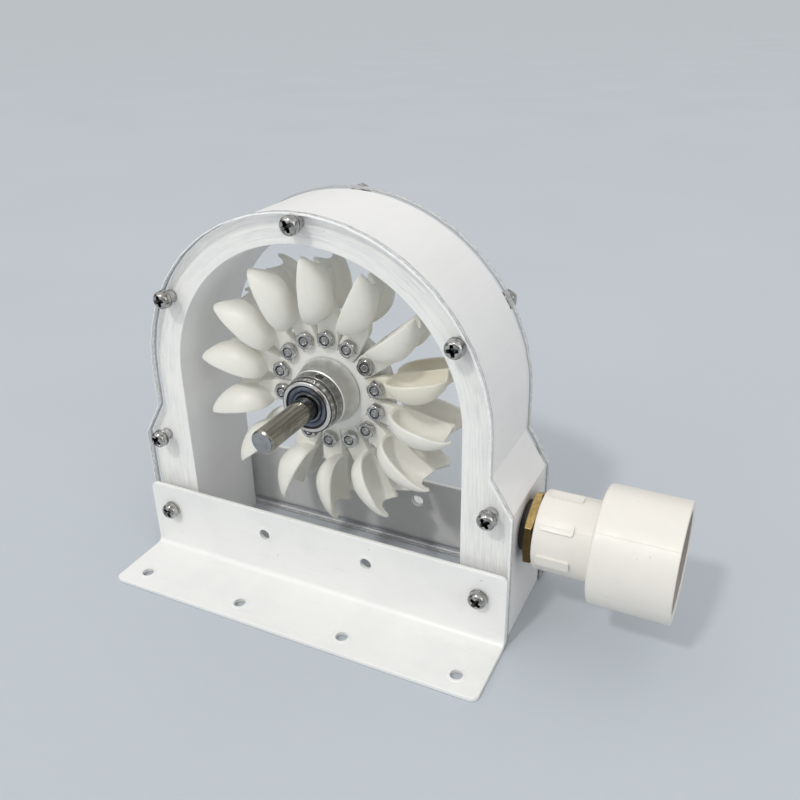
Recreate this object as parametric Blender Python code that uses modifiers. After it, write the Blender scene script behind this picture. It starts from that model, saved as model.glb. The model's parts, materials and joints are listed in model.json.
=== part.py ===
"""A small demonstration Pelton turbine: a printed arch housing between two clear covers,
two bent foot brackets, a bolted runner of fourteen twin-cup buckets on a steel shaft, and a
brass nozzle fitting with a plastic pipe adapter on the right.

Metres, +Z up. The runner's shaft lies along Y with its long end at -Y, the water inlet is at +X,
and the origin is on the floor under the middle of the whole part.
"""
import math

import bmesh
import bpy
from mathutils import Matrix

MM = 0.001

# Clearances
SEAT_GAP = 0.3 * MM        # between two pieces that rest on each other
RUNNING_GAP = 0.3 * MM     # between the shaft and the bearings' bores

# Housing outline, measured from the shaft axis
SHAFT_HEIGHT = 73.7 * MM
ARCH_RADIUS = 63.6 * MM
FOOT_HALF_WIDTH = 71.1 * MM
PINCH_DROP = 12.2 * MM
FLARE_DROP = 24.5 * MM
WINDOW_RADIUS = 53.0 * MM

# Stack along the shaft: cover, ring, cover
COVER_THICKNESS = 2.7 * MM
RING_DEPTH = 34.3 * MM
RING_FRONT = COVER_THICKNESS + SEAT_GAP
RING_BACK = RING_FRONT + RING_DEPTH
STACK_DEPTH = RING_BACK + SEAT_GAP + COVER_THICKNESS

# Foot brackets
BRACKET_LENGTH = 142.4 * MM
BRACKET_THICKNESS = 1.6 * MM
BRACKET_HEIGHT = 28.5 * MM
BRACKET_REACH = 27.5 * MM
BEND_RADIUS = 3.5 * MM
CORNER_RADIUS = 2.5 * MM
BEND_STEPS = 5
CORNER_STEPS = 3
FOOT_HOLE_RADIUS = 2.35 * MM
FOOT_HOLE_X = (-61.8 * MM, -20.6 * MM, 20.6 * MM, 61.8 * MM)
FOOT_HOLE_Y = -20.0 * MM
LEG_HOLE_X = (-20.6 * MM, 20.6 * MM)
LEG_HOLE_DROP = 54.8 * MM

# Clamp screws through the whole stack, and their nuts
SCREW_RADIUS = 1.5 * MM
SCREW_HOLE_RADIUS = 1.9 * MM
SCREW_HEAD_RADIUS = 3.15 * MM
SCREW_HEAD_HEIGHT = 2.4 * MM
HEAD_RIM_SHARE = 0.45      # of the head's height, from its top down to where its side starts
HEAD_FLAT_SHARE = 0.75     # of the head's radius, out to where its top starts to fall
HEAD_CROWN_SHARE = 0.1     # of the head's height, that its top rises to the middle
NUT_FLATS = 5.5 * MM
NUT_HEIGHT = 2.4 * MM
SCREW_TAIL = 0.8 * MM
SCREW_CIRCLE = 60.3 * MM
SIDE_SCREW_X = 63.5 * MM
SIDE_SCREW_DROP = 25.0 * MM
BRACKET_SCREW_X = 62.0 * MM

# Bearings and shaft
BEARING_RADIUS = 9.5 * MM
BEARING_WIDTH = 3.0 * MM
BEARING_RACE = 7.7 * MM
BEARING_INNER = 5.7 * MM
SHIELD_DEPTH = 0.5 * MM
SHAFT_RADIUS = 4.0 * MM
SHAFT_FRONT = -25.7 * MM
SHAFT_CHAMFER = 0.6 * MM

# Hub
HUB_FRONT = 3.3 * MM
HUB_STEP = 6.8 * MM
HUB_NECK_RADIUS = 9.7 * MM
HUB_RADIUS = 10.6 * MM
SET_SCREW_Y = 5.0 * MM
SET_SCREW_RADIUS = 1.4 * MM
SET_SCREW_ANGLE = math.radians(74.5)

# Runner: its disc, the bolt circle and the buckets
RUNNER_MID = 17.9 * MM
BUCKET_COUNT = 14
FIRST_BUCKET = math.radians(-14.0)
BOLT_CIRCLE = 18.67 * MM
BOLT_HOLE_RADIUS = 1.7 * MM
DISC_FRONT = 15.2 * MM
DISC_BOSS_RADIUS = 14.6 * MM
FLANGE_FRONT = 18.5 * MM
FLANGE_BACK = 21.2 * MM
FLANGE_RADIUS = 22.8 * MM

# A bucket in its own frame: u outwards from the shaft, v along the shaft from the midplane,
# w square to the open face
STEM_THICKNESS = 3.0 * MM
STEM_TOP = 4.0 * MM
STEM_WAIST_U = 27.0 * MM
STEM_END_U = 33.0 * MM
STEM_END_LOW = -0.5 * MM
STEM_END_HIGH = 2.0 * MM
CUP_CENTRE_U = 35.0 * MM
CUP_CENTRE_V = 6.35 * MM
CUP_FACE_W = 4.4 * MM
CUP_OUTER = {"out": 13.2 * MM, "in": 10.6 * MM, "side": 6.5 * MM, "mid": 6.6 * MM, "deep": 8.0 * MM}
CUP_WALL = 1.1 * MM
ROUND_POWER = 2            # of the cup's outline on its outer side
SQUARE_POWER = 4           # of the cup's outline towards the splitter
SECOND_CUP_LIFT = 0.01 * MM
HOLLOW_LIFT = 0.15 * MM
SPLITTER_HALF = 0.6 * MM
SPINE_HALF = 1.1 * MM
SPINE_DEPTH = 5.4 * MM
SPINE_START_U = 25.5 * MM
SPINE_SINK = 0.02 * MM
NOTCH_U = 44.0 * MM
NOTCH_RADIUS = 4.3 * MM
NOTCH_STEPS = 6
CUT_LENGTH = 20.0 * MM

# Inlet, its axis along X
INLET_Y = RUNNER_MID
INLET_DROP = 36.7 * MM
HEX_START = FOOT_HALF_WIDTH + SEAT_GAP
HEX_END = 75.6 * MM
HEX_FLATS = 20.0 * MM
NIPPLE_RADIUS = 8.0 * MM
NIPPLE_START = 53.6 * MM
NIPPLE_END = 90.0 * MM
NOZZLE_RADIUS = 4.2 * MM
NOZZLE_LENGTH = 7.0 * MM
PASSAGE_RADIUS = 6.0 * MM
TAPER_END = 67.0 * MM
ADAPTER_START = HEX_END + SEAT_GAP
ADAPTER_RADIUS = 13.15 * MM
NECK_END = 92.6 * MM
SOCKET_START = 96.7 * MM
SOCKET_END = 120.2 * MM
SOCKET_RADIUS = 19.3 * MM
SOCKET_BORE = 16.4 * MM
SOCKET_LEAD_IN = 0.6 * MM
SHOULDER_EDGE = (0.7 * MM, 1.5 * MM)       # how far in from the socket's side and back from its start
SHOULDER_FOOT = (2.2 * MM, 2.3 * MM)
RIB_COUNT = 8
RIB_HEIGHT = 1.0 * MM
RIB_WIDTH = 3.4 * MM
RIB_LENGTH = 11.0 * MM
RIB_SUNK = 1.2 * MM

# Sides of the round pieces
FINE_SIDES = 24
SHAFT_SIDES = 20
SMALL_SIDES = 12
HOLE_SIDES = 8
CUP_SIDES = 14
CUP_RINGS = 8
HOLLOW_SIDES = 12
ARC_STEPS = 30
SMOOTH_ANGLE = math.radians(35)
WELD = 0.001 * MM

# The shaft axis on the front cover's front face, in the part's own frame
LEFT_END = -BRACKET_LENGTH / 2
FRONT_END = -BRACKET_REACH
BACK_END = STACK_DEPTH + BRACKET_REACH
AXIS_PLACE = (-(LEFT_END + SOCKET_END) / 2, -(FRONT_END + BACK_END) / 2, SHAFT_HEIGHT)

# Turns of a profile or outline made about local Z
ALONG_Y = Matrix.Rotation(math.radians(-90), 4, "X")
ALONG_X = Matrix.Rotation(math.radians(90), 4, "Y")
FACING_FRONT = Matrix.Rotation(math.radians(90), 4, "X")
FACING_SIDE = Matrix(((0, 0, 1, 0), (1, 0, 0, 0), (0, 1, 0, 0), (0, 0, 0, 1)))

# Colour, roughness, metallic value
FINISHES = {
    "printed_white": ((0.83, 0.82, 0.80), 0.5, 0.0),
    "clear_acrylic": ((0.86, 0.90, 0.92), 0.05, 0.0),
    "white_paint": ((0.86, 0.86, 0.84), 0.35, 0.0),
    "stainless": ((0.62, 0.61, 0.59), 0.25, 1.0),
    "shaft_steel": ((0.50, 0.48, 0.44), 0.3, 1.0),
    "bearing_steel": ((0.66, 0.66, 0.68), 0.15, 1.0),
    "hub_aluminium": ((0.78, 0.78, 0.76), 0.35, 1.0),
    "bucket_resin": ((0.80, 0.77, 0.68), 0.4, 0.0),
    "disc_resin": ((0.84, 0.83, 0.80), 0.45, 0.0),
    "brass": ((0.55, 0.42, 0.20), 0.4, 1.0),
    "white_pipe": ((0.86, 0.84, 0.80), 0.4, 0.0),
}


def clear_scene():
    for obj in list(bpy.data.objects):
        bpy.data.objects.remove(obj, do_unlink=True)


def new_collection(name):
    collection = bpy.data.collections.new(name)
    bpy.context.scene.collection.children.link(collection)
    return collection


def new_material(name, finish):
    colour, roughness, metallic = FINISHES[finish]
    material = bpy.data.materials.new(name)
    material.use_nodes = True
    shader = material.node_tree.nodes["Principled BSDF"]
    shader.inputs["Base Color"].default_value = (*colour, 1.0)
    shader.inputs["Roughness"].default_value = roughness
    shader.inputs["Metallic"].default_value = metallic
    return material


def new_empty(name, location):
    empty = bpy.data.objects.new(name, None)
    empty.location = location
    PARTS.objects.link(empty)
    return empty


def finish_piece(obj, finish, parent):
    """Gives a piece its own material and hangs it on its parent."""
    obj.data.materials.clear()
    obj.data.materials.append(new_material(obj.name + "_material", finish))
    obj.parent = parent
    return obj


def as_cutter(obj):
    """Marks an object as a tool that shapes a piece and isn't one itself."""
    PARTS.objects.unlink(obj)
    CUTTERS.objects.link(obj)
    obj.hide_render = True
    obj.display_type = "WIRE"
    return obj


def new_piece(name, mesh, turn=None, location=(0, 0, 0)):
    obj = bpy.data.objects.new(name, mesh)
    obj.rotation_euler = (turn or Matrix()).to_euler()
    obj.location = location
    PARTS.objects.link(obj)
    return obj


def mesh_from(name, bm):
    mesh = bpy.data.meshes.new(name)
    bm.to_mesh(mesh)
    bm.free()
    return mesh


def evaluated_mesh(obj):
    """The mesh of a curve, or of a piece with its modifiers, with its loose caps welded."""
    depsgraph = bpy.context.evaluated_depsgraph_get()
    mesh = bpy.data.meshes.new_from_object(obj.evaluated_get(depsgraph))
    bm = bmesh.new()
    bm.from_mesh(mesh)
    bmesh.ops.remove_doubles(bm, verts=bm.verts, dist=WELD)
    bmesh.ops.recalc_face_normals(bm, faces=bm.faces)
    bm.to_mesh(mesh)
    bm.free()
    return mesh


def arc(centre, radius, start, end, steps):
    """Points of an arc, both ends included, with its angles in degrees."""
    angles = [math.radians(start + (end - start) * i / steps) for i in range(steps + 1)]
    return [(centre[0] + radius * math.cos(a), centre[1] + radius * math.sin(a)) for a in angles]


def circle(centre, radius, sides):
    return arc(centre, radius, 0, 360 * (sides - 1) / sides, sides - 1)


def plate(name, outlines, thickness, turn, location):
    """A flat piece from a closed outline and the outlines of its holes."""
    curve = bpy.data.curves.new(name, "CURVE")
    curve.dimensions = "2D"
    curve.fill_mode = "BOTH"
    curve.extrude = thickness / 2
    for outline in outlines:
        spline = curve.splines.new("POLY")
        spline.points.add(len(outline) - 1)
        spline.use_cyclic_u = True
        for point, place in zip(spline.points, outline):
            point.co = (place[0], place[1], 0, 1)
    drawn = new_piece(name + "_outline", curve)
    mesh = evaluated_mesh(drawn)
    bpy.data.objects.remove(drawn, do_unlink=True)
    bpy.data.curves.remove(curve)
    return new_piece(name, mesh, turn, location)


def turned(name, profile, sides, turn, location=(0, 0, 0), bored=False):
    """A turned piece: (radius, height) points from the top down the outer side. A bored
    one's profile goes on up its bore and closes."""
    bm = bmesh.new()
    verts = [bm.verts.new((radius, 0, height)) for radius, height in profile]
    for first, second in zip(verts, verts[1:]):
        bm.edges.new((first, second))
    if bored:
        bm.edges.new((verts[-1], verts[0]))
    obj = new_piece(name, mesh_from(name, bm), turn, location)
    screw = obj.modifiers.new("turn", "SCREW")
    screw.steps = sides
    screw.render_steps = sides
    screw.use_merge_vertices = True
    screw.merge_threshold = WELD
    return obj


def rods(name, places, radius, length, sides, turn):
    """A cutter of parallel rods, centred on the places."""
    bm = bmesh.new()
    for place in places:
        stood = Matrix.Translation(place) @ turn
        bmesh.ops.create_cone(bm, cap_ends=True, segments=sides, radius1=radius, radius2=radius,
                              depth=length, matrix=stood)
    return as_cutter(new_piece(name, mesh_from(name, bm)))


def shape_with(obj, tool, operation):
    """Cuts or joins a piece with a tool, which hangs on the piece's parent."""
    tool.parent = obj.parent
    modifier = obj.modifiers.new(tool.name, "BOOLEAN")
    modifier.operation = operation
    modifier.object = tool


def cut(obj, tool):
    shape_with(obj, tool, "DIFFERENCE")


def join(obj, tool):
    if tool.name in PARTS.objects:
        as_cutter(tool)
    shape_with(obj, tool, "UNION")


def hexagon(flats, turn_degrees=0):
    corner = flats / math.sqrt(3)
    return arc((0, 0), corner, turn_degrees, turn_degrees + 300, 5)


def clear_of(radius, gap, sides):
    """The corner radius of a many-sided bore whose flats clear a round piece by the gap."""
    return (radius + gap) / math.cos(math.pi / sides)


def screw_places():
    """Where the seven clamp screws pass through the stack, as (x, z) from the shaft axis."""
    places = {"top": (0.0, SCREW_CIRCLE)}
    for side, sign in (("left", -1), ("right", 1)):
        slant = math.radians(30)
        places["upper_" + side] = (sign * SCREW_CIRCLE * math.cos(slant), SCREW_CIRCLE * math.sin(slant))
        places["lower_" + side] = (sign * SIDE_SCREW_X, -SIDE_SCREW_DROP)
        places["bracket_" + side] = (sign * BRACKET_SCREW_X, -LEG_HOLE_DROP)
    return places


def housing_outline():
    """The outer outline of ring and covers, from the right foot over the arch."""
    right = [
        (FOOT_HALF_WIDTH, -SHAFT_HEIGHT),
        (FOOT_HALF_WIDTH, -FLARE_DROP),
        (ARCH_RADIUS, -PINCH_DROP),
    ]
    left = [(-x, z) for x, z in reversed(right)]
    return right + arc((0, 0), ARCH_RADIUS, 0, 180, ARC_STEPS) + left


def ring_outline():
    """The housing ring is open at the bottom, so its window is part of its outline."""
    window = [(-WINDOW_RADIUS, -SHAFT_HEIGHT)]
    window += arc((0, 0), WINDOW_RADIUS, 180, 0, ARC_STEPS)
    window += [(WINDOW_RADIUS, -SHAFT_HEIGHT)]
    return housing_outline() + window


def screw_holes():
    return [circle(place, SCREW_HOLE_RADIUS, HOLE_SIDES) for place in screw_places().values()]


def make_ring(parent):
    outlines = [ring_outline()] + screw_holes()
    middle = (0, (RING_FRONT + RING_BACK) / 2, 0)
    ring = plate("housing_ring", outlines, RING_DEPTH, FACING_FRONT, middle)
    finish_piece(ring, "printed_white", parent)
    wall_middle = ((WINDOW_RADIUS + FOOT_HALF_WIDTH) / 2, INLET_Y, -INLET_DROP)
    hole_radius = clear_of(NIPPLE_RADIUS, SEAT_GAP, SHAFT_SIDES)
    hole = rods("inlet_hole_cutter", [wall_middle], hole_radius, 2 * CUT_LENGTH, SHAFT_SIDES, ALONG_X)
    cut(ring, hole)


def make_cover(name, front, parent):
    bearing_hole = circle((0, 0), clear_of(BEARING_RADIUS, SEAT_GAP, FINE_SIDES), FINE_SIDES)
    outlines = [housing_outline(), bearing_hole] + screw_holes()
    middle = (0, front + COVER_THICKNESS / 2, 0)
    cover = plate(name, outlines, COVER_THICKNESS, FACING_FRONT, middle)
    finish_piece(cover, "clear_acrylic", parent)


def bracket_profile(facing):
    """The bent section as (y, z); facing is -1 for a foot that points to the front and 1 for
    one that points to the back. The leg's inner face is at y = 0."""
    inner = BEND_RADIUS - BRACKET_THICKNESS
    centre = (-BEND_RADIUS, -SHAFT_HEIGHT + BEND_RADIUS)
    foot_end = -BRACKET_REACH + SEAT_GAP
    leg_top = -SHAFT_HEIGHT + BRACKET_HEIGHT
    points = [(0, leg_top)]
    points += arc(centre, BEND_RADIUS, 0, -90, BEND_STEPS)
    points += [(foot_end, -SHAFT_HEIGHT), (foot_end, -SHAFT_HEIGHT + BRACKET_THICKNESS)]
    points += arc(centre, inner, -90, 0, BEND_STEPS)
    points += [(-BRACKET_THICKNESS, leg_top)]
    return [(-facing * y, z) for y, z in points]


def round_bracket_corners(mesh):
    """Rounds the two corners of the leg and the two of the foot."""
    bm = bmesh.new()
    bm.from_mesh(mesh)
    near = 0.01 * MM
    bmesh.ops.dissolve_limit(bm, angle_limit=math.radians(0.5), verts=bm.verts, edges=bm.edges)
    leg_top = -SHAFT_HEIGHT + BRACKET_HEIGHT
    edges = []
    for edge in bm.edges:
        ends = [vert.co for vert in edge.verts]
        at_end = min(abs(end.z) for end in ends) > BRACKET_LENGTH / 2 - near
        on_leg_top = min(end.y for end in ends) > leg_top - near
        on_foot_end = min(abs(end.x) for end in ends) > BRACKET_REACH - SEAT_GAP - near
        if at_end and (on_leg_top or on_foot_end) and edge.calc_length() < 2 * BRACKET_THICKNESS:
            edges.append(edge)
    bmesh.ops.bevel(bm, geom=edges, offset=CORNER_RADIUS, segments=CORNER_STEPS, profile=0.5,
                    affect="EDGES")
    bmesh.ops.recalc_face_normals(bm, faces=bm.faces)
    bm.to_mesh(mesh)
    bm.free()


def make_bracket(name, facing, inner_face, parent):
    bracket = plate(name, [bracket_profile(facing)], BRACKET_LENGTH, FACING_SIDE, (0, inner_face, 0))
    round_bracket_corners(bracket.data)
    finish_piece(bracket, "white_paint", parent)
    foot_y = facing * -FOOT_HOLE_Y + (STACK_DEPTH if facing > 0 else 0)
    foot_places = [(x, foot_y, -SHAFT_HEIGHT) for x in FOOT_HOLE_X]
    leg_places = [(x, inner_face, -LEG_HOLE_DROP) for x in LEG_HOLE_X]
    screw_holes_at = [(sign * BRACKET_SCREW_X, inner_face, -LEG_HOLE_DROP) for sign in (-1, 1)]
    length = 8 * BRACKET_THICKNESS
    feet = rods(name + "_foot_cutter", foot_places, FOOT_HOLE_RADIUS, length, SMALL_SIDES, Matrix())
    legs = rods(name + "_leg_cutter", leg_places, FOOT_HOLE_RADIUS, length, SMALL_SIDES, ALONG_Y)
    bolts = rods(name + "_screw_cutter", screw_holes_at, SCREW_HOLE_RADIUS, length, HOLE_SIDES, ALONG_Y)
    for tool in (feet, legs, bolts):
        cut(bracket, tool)


def make_screw(side, place, front, back, parent):
    """A pan head screw from the face at front to the nut that bears on the face at back."""
    head_back = front - SEAT_GAP
    head_front = head_back - SCREW_HEAD_HEIGHT
    tail = back + SEAT_GAP + NUT_HEIGHT + SCREW_TAIL
    profile = [
        (0, tail),
        (SCREW_RADIUS, tail),
        (SCREW_RADIUS, head_back),
        (SCREW_HEAD_RADIUS, head_back),
        (SCREW_HEAD_RADIUS, head_front + HEAD_RIM_SHARE * SCREW_HEAD_HEIGHT),
        (HEAD_FLAT_SHARE * SCREW_HEAD_RADIUS, head_front + HEAD_CROWN_SHARE * SCREW_HEAD_HEIGHT),
        (0, head_front),
    ]
    screw = turned("screw_" + side, profile, SMALL_SIDES, ALONG_Y, (place[0], 0, place[1]))
    finish_piece(screw, "stainless", parent)
    hole = circle((0, 0), SCREW_HOLE_RADIUS, HOLE_SIDES)
    nut_middle = (place[0], back + SEAT_GAP + NUT_HEIGHT / 2, place[1])
    nut = plate("nut_" + side, [hexagon(NUT_FLATS), hole], NUT_HEIGHT, FACING_FRONT, nut_middle)
    finish_piece(nut, "stainless", parent)


def make_screws(parent):
    for side, place in screw_places().items():
        through_bracket = side.startswith("bracket")
        outside = SEAT_GAP + BRACKET_THICKNESS if through_bracket else 0
        make_screw(side, place, -outside, STACK_DEPTH + outside, parent)


def make_bearing(name, front, parent):
    bore = clear_of(SHAFT_RADIUS, RUNNING_GAP, SHAFT_SIDES)
    back = front + BEARING_WIDTH
    profile = [
        (BEARING_RADIUS, back),
        (BEARING_RADIUS, front),
        (BEARING_RACE, front),
        (BEARING_RACE, front + SHIELD_DEPTH),
        (BEARING_INNER, front + SHIELD_DEPTH),
        (BEARING_INNER, front),
        (bore, front),
        (bore, back),
    ]
    bearing = turned(name, profile, SHAFT_SIDES, ALONG_Y, bored=True)
    finish_piece(bearing, "bearing_steel", parent)


def make_nozzle_fitting(parent):
    """Hexagon with a flat to the front, and a threaded nipple through the wall and into the
    adapter. Its bore narrows to the jet towards the runner."""
    hex_middle = ((HEX_START + HEX_END) / 2, INLET_Y, -INLET_DROP)
    fitting = plate("nozzle_fitting", [hexagon(HEX_FLATS)], HEX_END - HEX_START, ALONG_X, hex_middle)
    finish_piece(fitting, "brass", parent)
    nipple_middle = ((NIPPLE_START + NIPPLE_END) / 2, INLET_Y, -INLET_DROP)
    nipple = rods("nipple_former", [nipple_middle], NIPPLE_RADIUS, NIPPLE_END - NIPPLE_START,
                  SHAFT_SIDES, ALONG_X)
    join(fitting, nipple)
    profile = [
        (0, NIPPLE_END + CUT_LENGTH),
        (PASSAGE_RADIUS, NIPPLE_END + CUT_LENGTH),
        (PASSAGE_RADIUS, TAPER_END),
        (NOZZLE_RADIUS, NIPPLE_START + NOZZLE_LENGTH),
        (NOZZLE_RADIUS, NIPPLE_START - CUT_LENGTH),
        (0, NIPPLE_START - CUT_LENGTH),
    ]
    bore = as_cutter(turned("nozzle_bore_cutter", profile, CUP_SIDES, ALONG_X, (0, INLET_Y, -INLET_DROP)))
    cut(fitting, bore)


def make_pipe_adapter(parent):
    """A ribbed neck that screws onto the nipple and a socket for a pipe."""
    thread = clear_of(NIPPLE_RADIUS, SEAT_GAP, FINE_SIDES)
    profile = [
        (SOCKET_RADIUS, SOCKET_END),
        (SOCKET_RADIUS, SOCKET_START),
        (SOCKET_RADIUS - SHOULDER_EDGE[0], SOCKET_START - SHOULDER_EDGE[1]),
        (SOCKET_RADIUS - SHOULDER_FOOT[0], SOCKET_START - SHOULDER_FOOT[1]),
        (ADAPTER_RADIUS, NECK_END),
        (ADAPTER_RADIUS, ADAPTER_START),
        (thread, ADAPTER_START),
        (thread, SOCKET_START),
        (SOCKET_BORE, SOCKET_START),
        (SOCKET_BORE, SOCKET_END - SOCKET_LEAD_IN),
        (SOCKET_BORE + SOCKET_LEAD_IN, SOCKET_END),
    ]
    place = (0, INLET_Y, -INLET_DROP)
    adapter = turned("pipe_adapter", profile, FINE_SIDES, ALONG_X, place, bored=True)
    finish_piece(adapter, "white_pipe", parent)
    bm = bmesh.new()
    radius = ADAPTER_RADIUS + (RIB_HEIGHT - RIB_SUNK) / 2
    size = Matrix.Diagonal((RIB_LENGTH, RIB_WIDTH, RIB_HEIGHT + RIB_SUNK, 1))
    centre = Matrix.Translation((ADAPTER_START + RIB_LENGTH / 2, 0, radius))
    for i in range(RIB_COUNT):
        around = Matrix.Rotation(math.tau * (i + 0.5) / RIB_COUNT, 4, "X")
        bmesh.ops.create_cube(bm, size=1, matrix=around @ centre @ size)
    join(adapter, new_piece("rib_former", mesh_from("rib_former", bm), location=place))


def make_shaft(parent):
    back = STACK_DEPTH
    profile = [
        (0, back),
        (SHAFT_RADIUS - SHAFT_CHAMFER, back),
        (SHAFT_RADIUS, back - SHAFT_CHAMFER),
        (SHAFT_RADIUS, SHAFT_FRONT + SHAFT_CHAMFER),
        (SHAFT_RADIUS - SHAFT_CHAMFER, SHAFT_FRONT),
        (0, SHAFT_FRONT),
    ]
    finish_piece(turned("shaft", profile, SHAFT_SIDES, ALONG_Y), "shaft_steel", parent)


def make_hub(parent):
    bore = clear_of(SHAFT_RADIUS, SEAT_GAP, SHAFT_SIDES)
    back = DISC_FRONT - SEAT_GAP
    profile = [
        (HUB_RADIUS, back),
        (HUB_RADIUS, HUB_STEP),
        (HUB_NECK_RADIUS, HUB_STEP),
        (HUB_NECK_RADIUS, HUB_FRONT),
        (bore, HUB_FRONT),
        (bore, back),
    ]
    hub = turned("hub", profile, SHAFT_SIDES, ALONG_Y, bored=True)
    finish_piece(hub, "hub_aluminium", parent)
    reach = (HUB_NECK_RADIUS + SHAFT_RADIUS) / 2
    place = (reach * math.cos(SET_SCREW_ANGLE), SET_SCREW_Y, reach * math.sin(SET_SCREW_ANGLE))
    outwards = Matrix.Rotation(math.pi / 2 - SET_SCREW_ANGLE, 4, "Y")
    length = HUB_NECK_RADIUS
    cut(hub, rods("set_screw_cutter", [place], SET_SCREW_RADIUS, length, SMALL_SIDES, outwards))


def make_disc(parent):
    bore = clear_of(SHAFT_RADIUS, SEAT_GAP, SHAFT_SIDES)
    profile = [
        (FLANGE_RADIUS, FLANGE_BACK),
        (FLANGE_RADIUS, FLANGE_FRONT),
        (DISC_BOSS_RADIUS, FLANGE_FRONT),
        (DISC_BOSS_RADIUS, DISC_FRONT),
        (bore, DISC_FRONT),
        (bore, FLANGE_BACK),
    ]
    disc = turned("runner_disc", profile, 2 * BUCKET_COUNT, ALONG_Y, bored=True)
    finish_piece(disc, "disc_resin", parent)
    angles = [bucket_angle(i) for i in range(BUCKET_COUNT)]
    places = [(BOLT_CIRCLE * math.cos(a), FLANGE_BACK, BOLT_CIRCLE * math.sin(a)) for a in angles]
    cut(disc, rods("bolt_hole_cutter", places, BOLT_HOLE_RADIUS, CUT_LENGTH / 2, HOLE_SIDES, ALONG_Y))


def bucket_angle(index):
    return FIRST_BUCKET + math.tau * index / BUCKET_COUNT


def cup_form(name, side, inset, lift):
    """One cup as a bowl with its open face up. The outline is round on its outer side and
    square towards the splitter. The inset makes the hollow from the outer form."""
    size = {key: value - inset for key, value in CUP_OUTER.items()}
    if inset:
        size["mid"] = CUP_CENTRE_V - SPLITTER_HALF
    bm = bmesh.new()
    sides = HOLLOW_SIDES if inset else CUP_SIDES
    bmesh.ops.create_uvsphere(bm, u_segments=sides, v_segments=CUP_RINGS, radius=1)
    flat = (0, 0, 1)
    geometry = bm.verts[:] + bm.edges[:] + bm.faces[:]
    if not inset:
        bmesh.ops.bisect_plane(bm, geom=geometry, plane_co=(0, 0, 0), plane_no=flat, clear_outer=True)
        rim = [edge for edge in bm.edges if edge.is_boundary]
        bmesh.ops.contextual_create(bm, geom=rim)
    for vert in bm.verts:
        u, v, w = vert.co
        reach = math.hypot(u, v)
        power = SQUARE_POWER if v * side < 0 else ROUND_POWER
        if reach > 1e-6:
            stretch = reach / (abs(u) ** power + abs(v) ** power) ** (1 / power)
            u = u * stretch
            v = v * stretch
        along = size["out"] if u > 0 else size["in"]
        across = size["mid"] if v * side < 0 else size["side"]
        vert.co = (CUP_CENTRE_U + u * along, side * CUP_CENTRE_V + v * across,
                   CUP_FACE_W + lift + w * size["deep"])
    return new_piece(name, mesh_from(name, bm))


def notch_outline():
    """Two round bites with the splitter's tip between them, open outwards."""
    points = [(NOTCH_U + CUT_LENGTH, -2 * NOTCH_RADIUS)]
    points += arc((NOTCH_U, -NOTCH_RADIUS), NOTCH_RADIUS, 270, 90, NOTCH_STEPS)
    points += arc((NOTCH_U, NOTCH_RADIUS), NOTCH_RADIUS, 270, 90, NOTCH_STEPS)[1:]
    points += [(NOTCH_U + CUT_LENGTH, 2 * NOTCH_RADIUS)]
    return points


def stem_outline():
    """The wedge that is clamped to the disc, and the rib under the cups."""
    half_angle = math.pi / BUCKET_COUNT
    root = DISC_BOSS_RADIUS + SEAT_GAP
    root_half = root * math.tan(half_angle) - SEAT_GAP / 2
    rise = STEM_TOP / math.tan(half_angle)
    return [
        (root, -root_half),
        (rise, -STEM_TOP + SEAT_GAP / 2),
        (STEM_WAIST_U, -STEM_TOP + SEAT_GAP / 2),
        (STEM_END_U, STEM_END_LOW),
        (STEM_END_U, STEM_END_HIGH),
        (STEM_WAIST_U, STEM_TOP - SEAT_GAP / 2),
        (rise, STEM_TOP - SEAT_GAP / 2),
        (root, root_half),
    ]


def bucket_mesh():
    """One bucket: two cups, the splitter between them and the stem with its bolt hole."""
    bucket = cup_form("bucket_form", -1, 0, 0)
    join(bucket, cup_form("second_cup_former", 1, 0, SECOND_CUP_LIFT))
    bm = bmesh.new()
    end = NOTCH_U + MM
    size = Matrix.Diagonal((end - SPINE_START_U, 2 * SPINE_HALF, SPINE_DEPTH, 1))
    height = CUP_FACE_W - SPINE_SINK - SPINE_DEPTH / 2
    place = Matrix.Translation(((SPINE_START_U + end) / 2, 0, height))
    bmesh.ops.create_cube(bm, size=1, matrix=place @ size)
    join(bucket, new_piece("splitter_former", mesh_from("splitter_former", bm)))
    stem_v = DISC_FRONT - RUNNER_MID + STEM_THICKNESS / 2
    join(bucket, plate("stem_former", [stem_outline()], STEM_THICKNESS, FACING_FRONT, (0, stem_v, 0)))
    for side, name in ((-1, "front_hollow_cutter"), (1, "back_hollow_cutter")):
        cut(bucket, as_cutter(cup_form(name, side, CUP_WALL, HOLLOW_LIFT)))
    cut(bucket, as_cutter(plate("notch_cutter", [notch_outline()], 2 * CUT_LENGTH, Matrix(), (0, 0, 0))))
    hole = (BOLT_CIRCLE, 0, 0)
    cut(bucket, rods("stem_hole_cutter", [hole], BOLT_HOLE_RADIUS, CUT_LENGTH, HOLE_SIDES, ALONG_Y))
    mesh = evaluated_mesh(bucket)
    mesh.name = "bucket"
    tools = [modifier.object for modifier in bucket.modifiers]
    for obj in [bucket] + tools:
        bpy.data.objects.remove(obj, do_unlink=True)
    return mesh


def make_buckets(parent):
    mesh = bucket_mesh()
    mesh.shade_smooth()
    mesh.set_sharp_from_angle(angle=SMOOTH_ANGLE)
    mesh.materials.clear()
    mesh.materials.append(new_material("bucket_material", "bucket_resin"))
    for i in range(BUCKET_COUNT):
        around = Matrix.Rotation(-bucket_angle(i), 4, "Y")
        bucket = new_piece("bucket_%02d" % (i + 1), mesh, around, (0, RUNNER_MID, 0))
        bucket.parent = parent


clear_scene()
PARTS = new_collection("pelton_wheel")
CUTTERS = new_collection("cutters")

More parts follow.
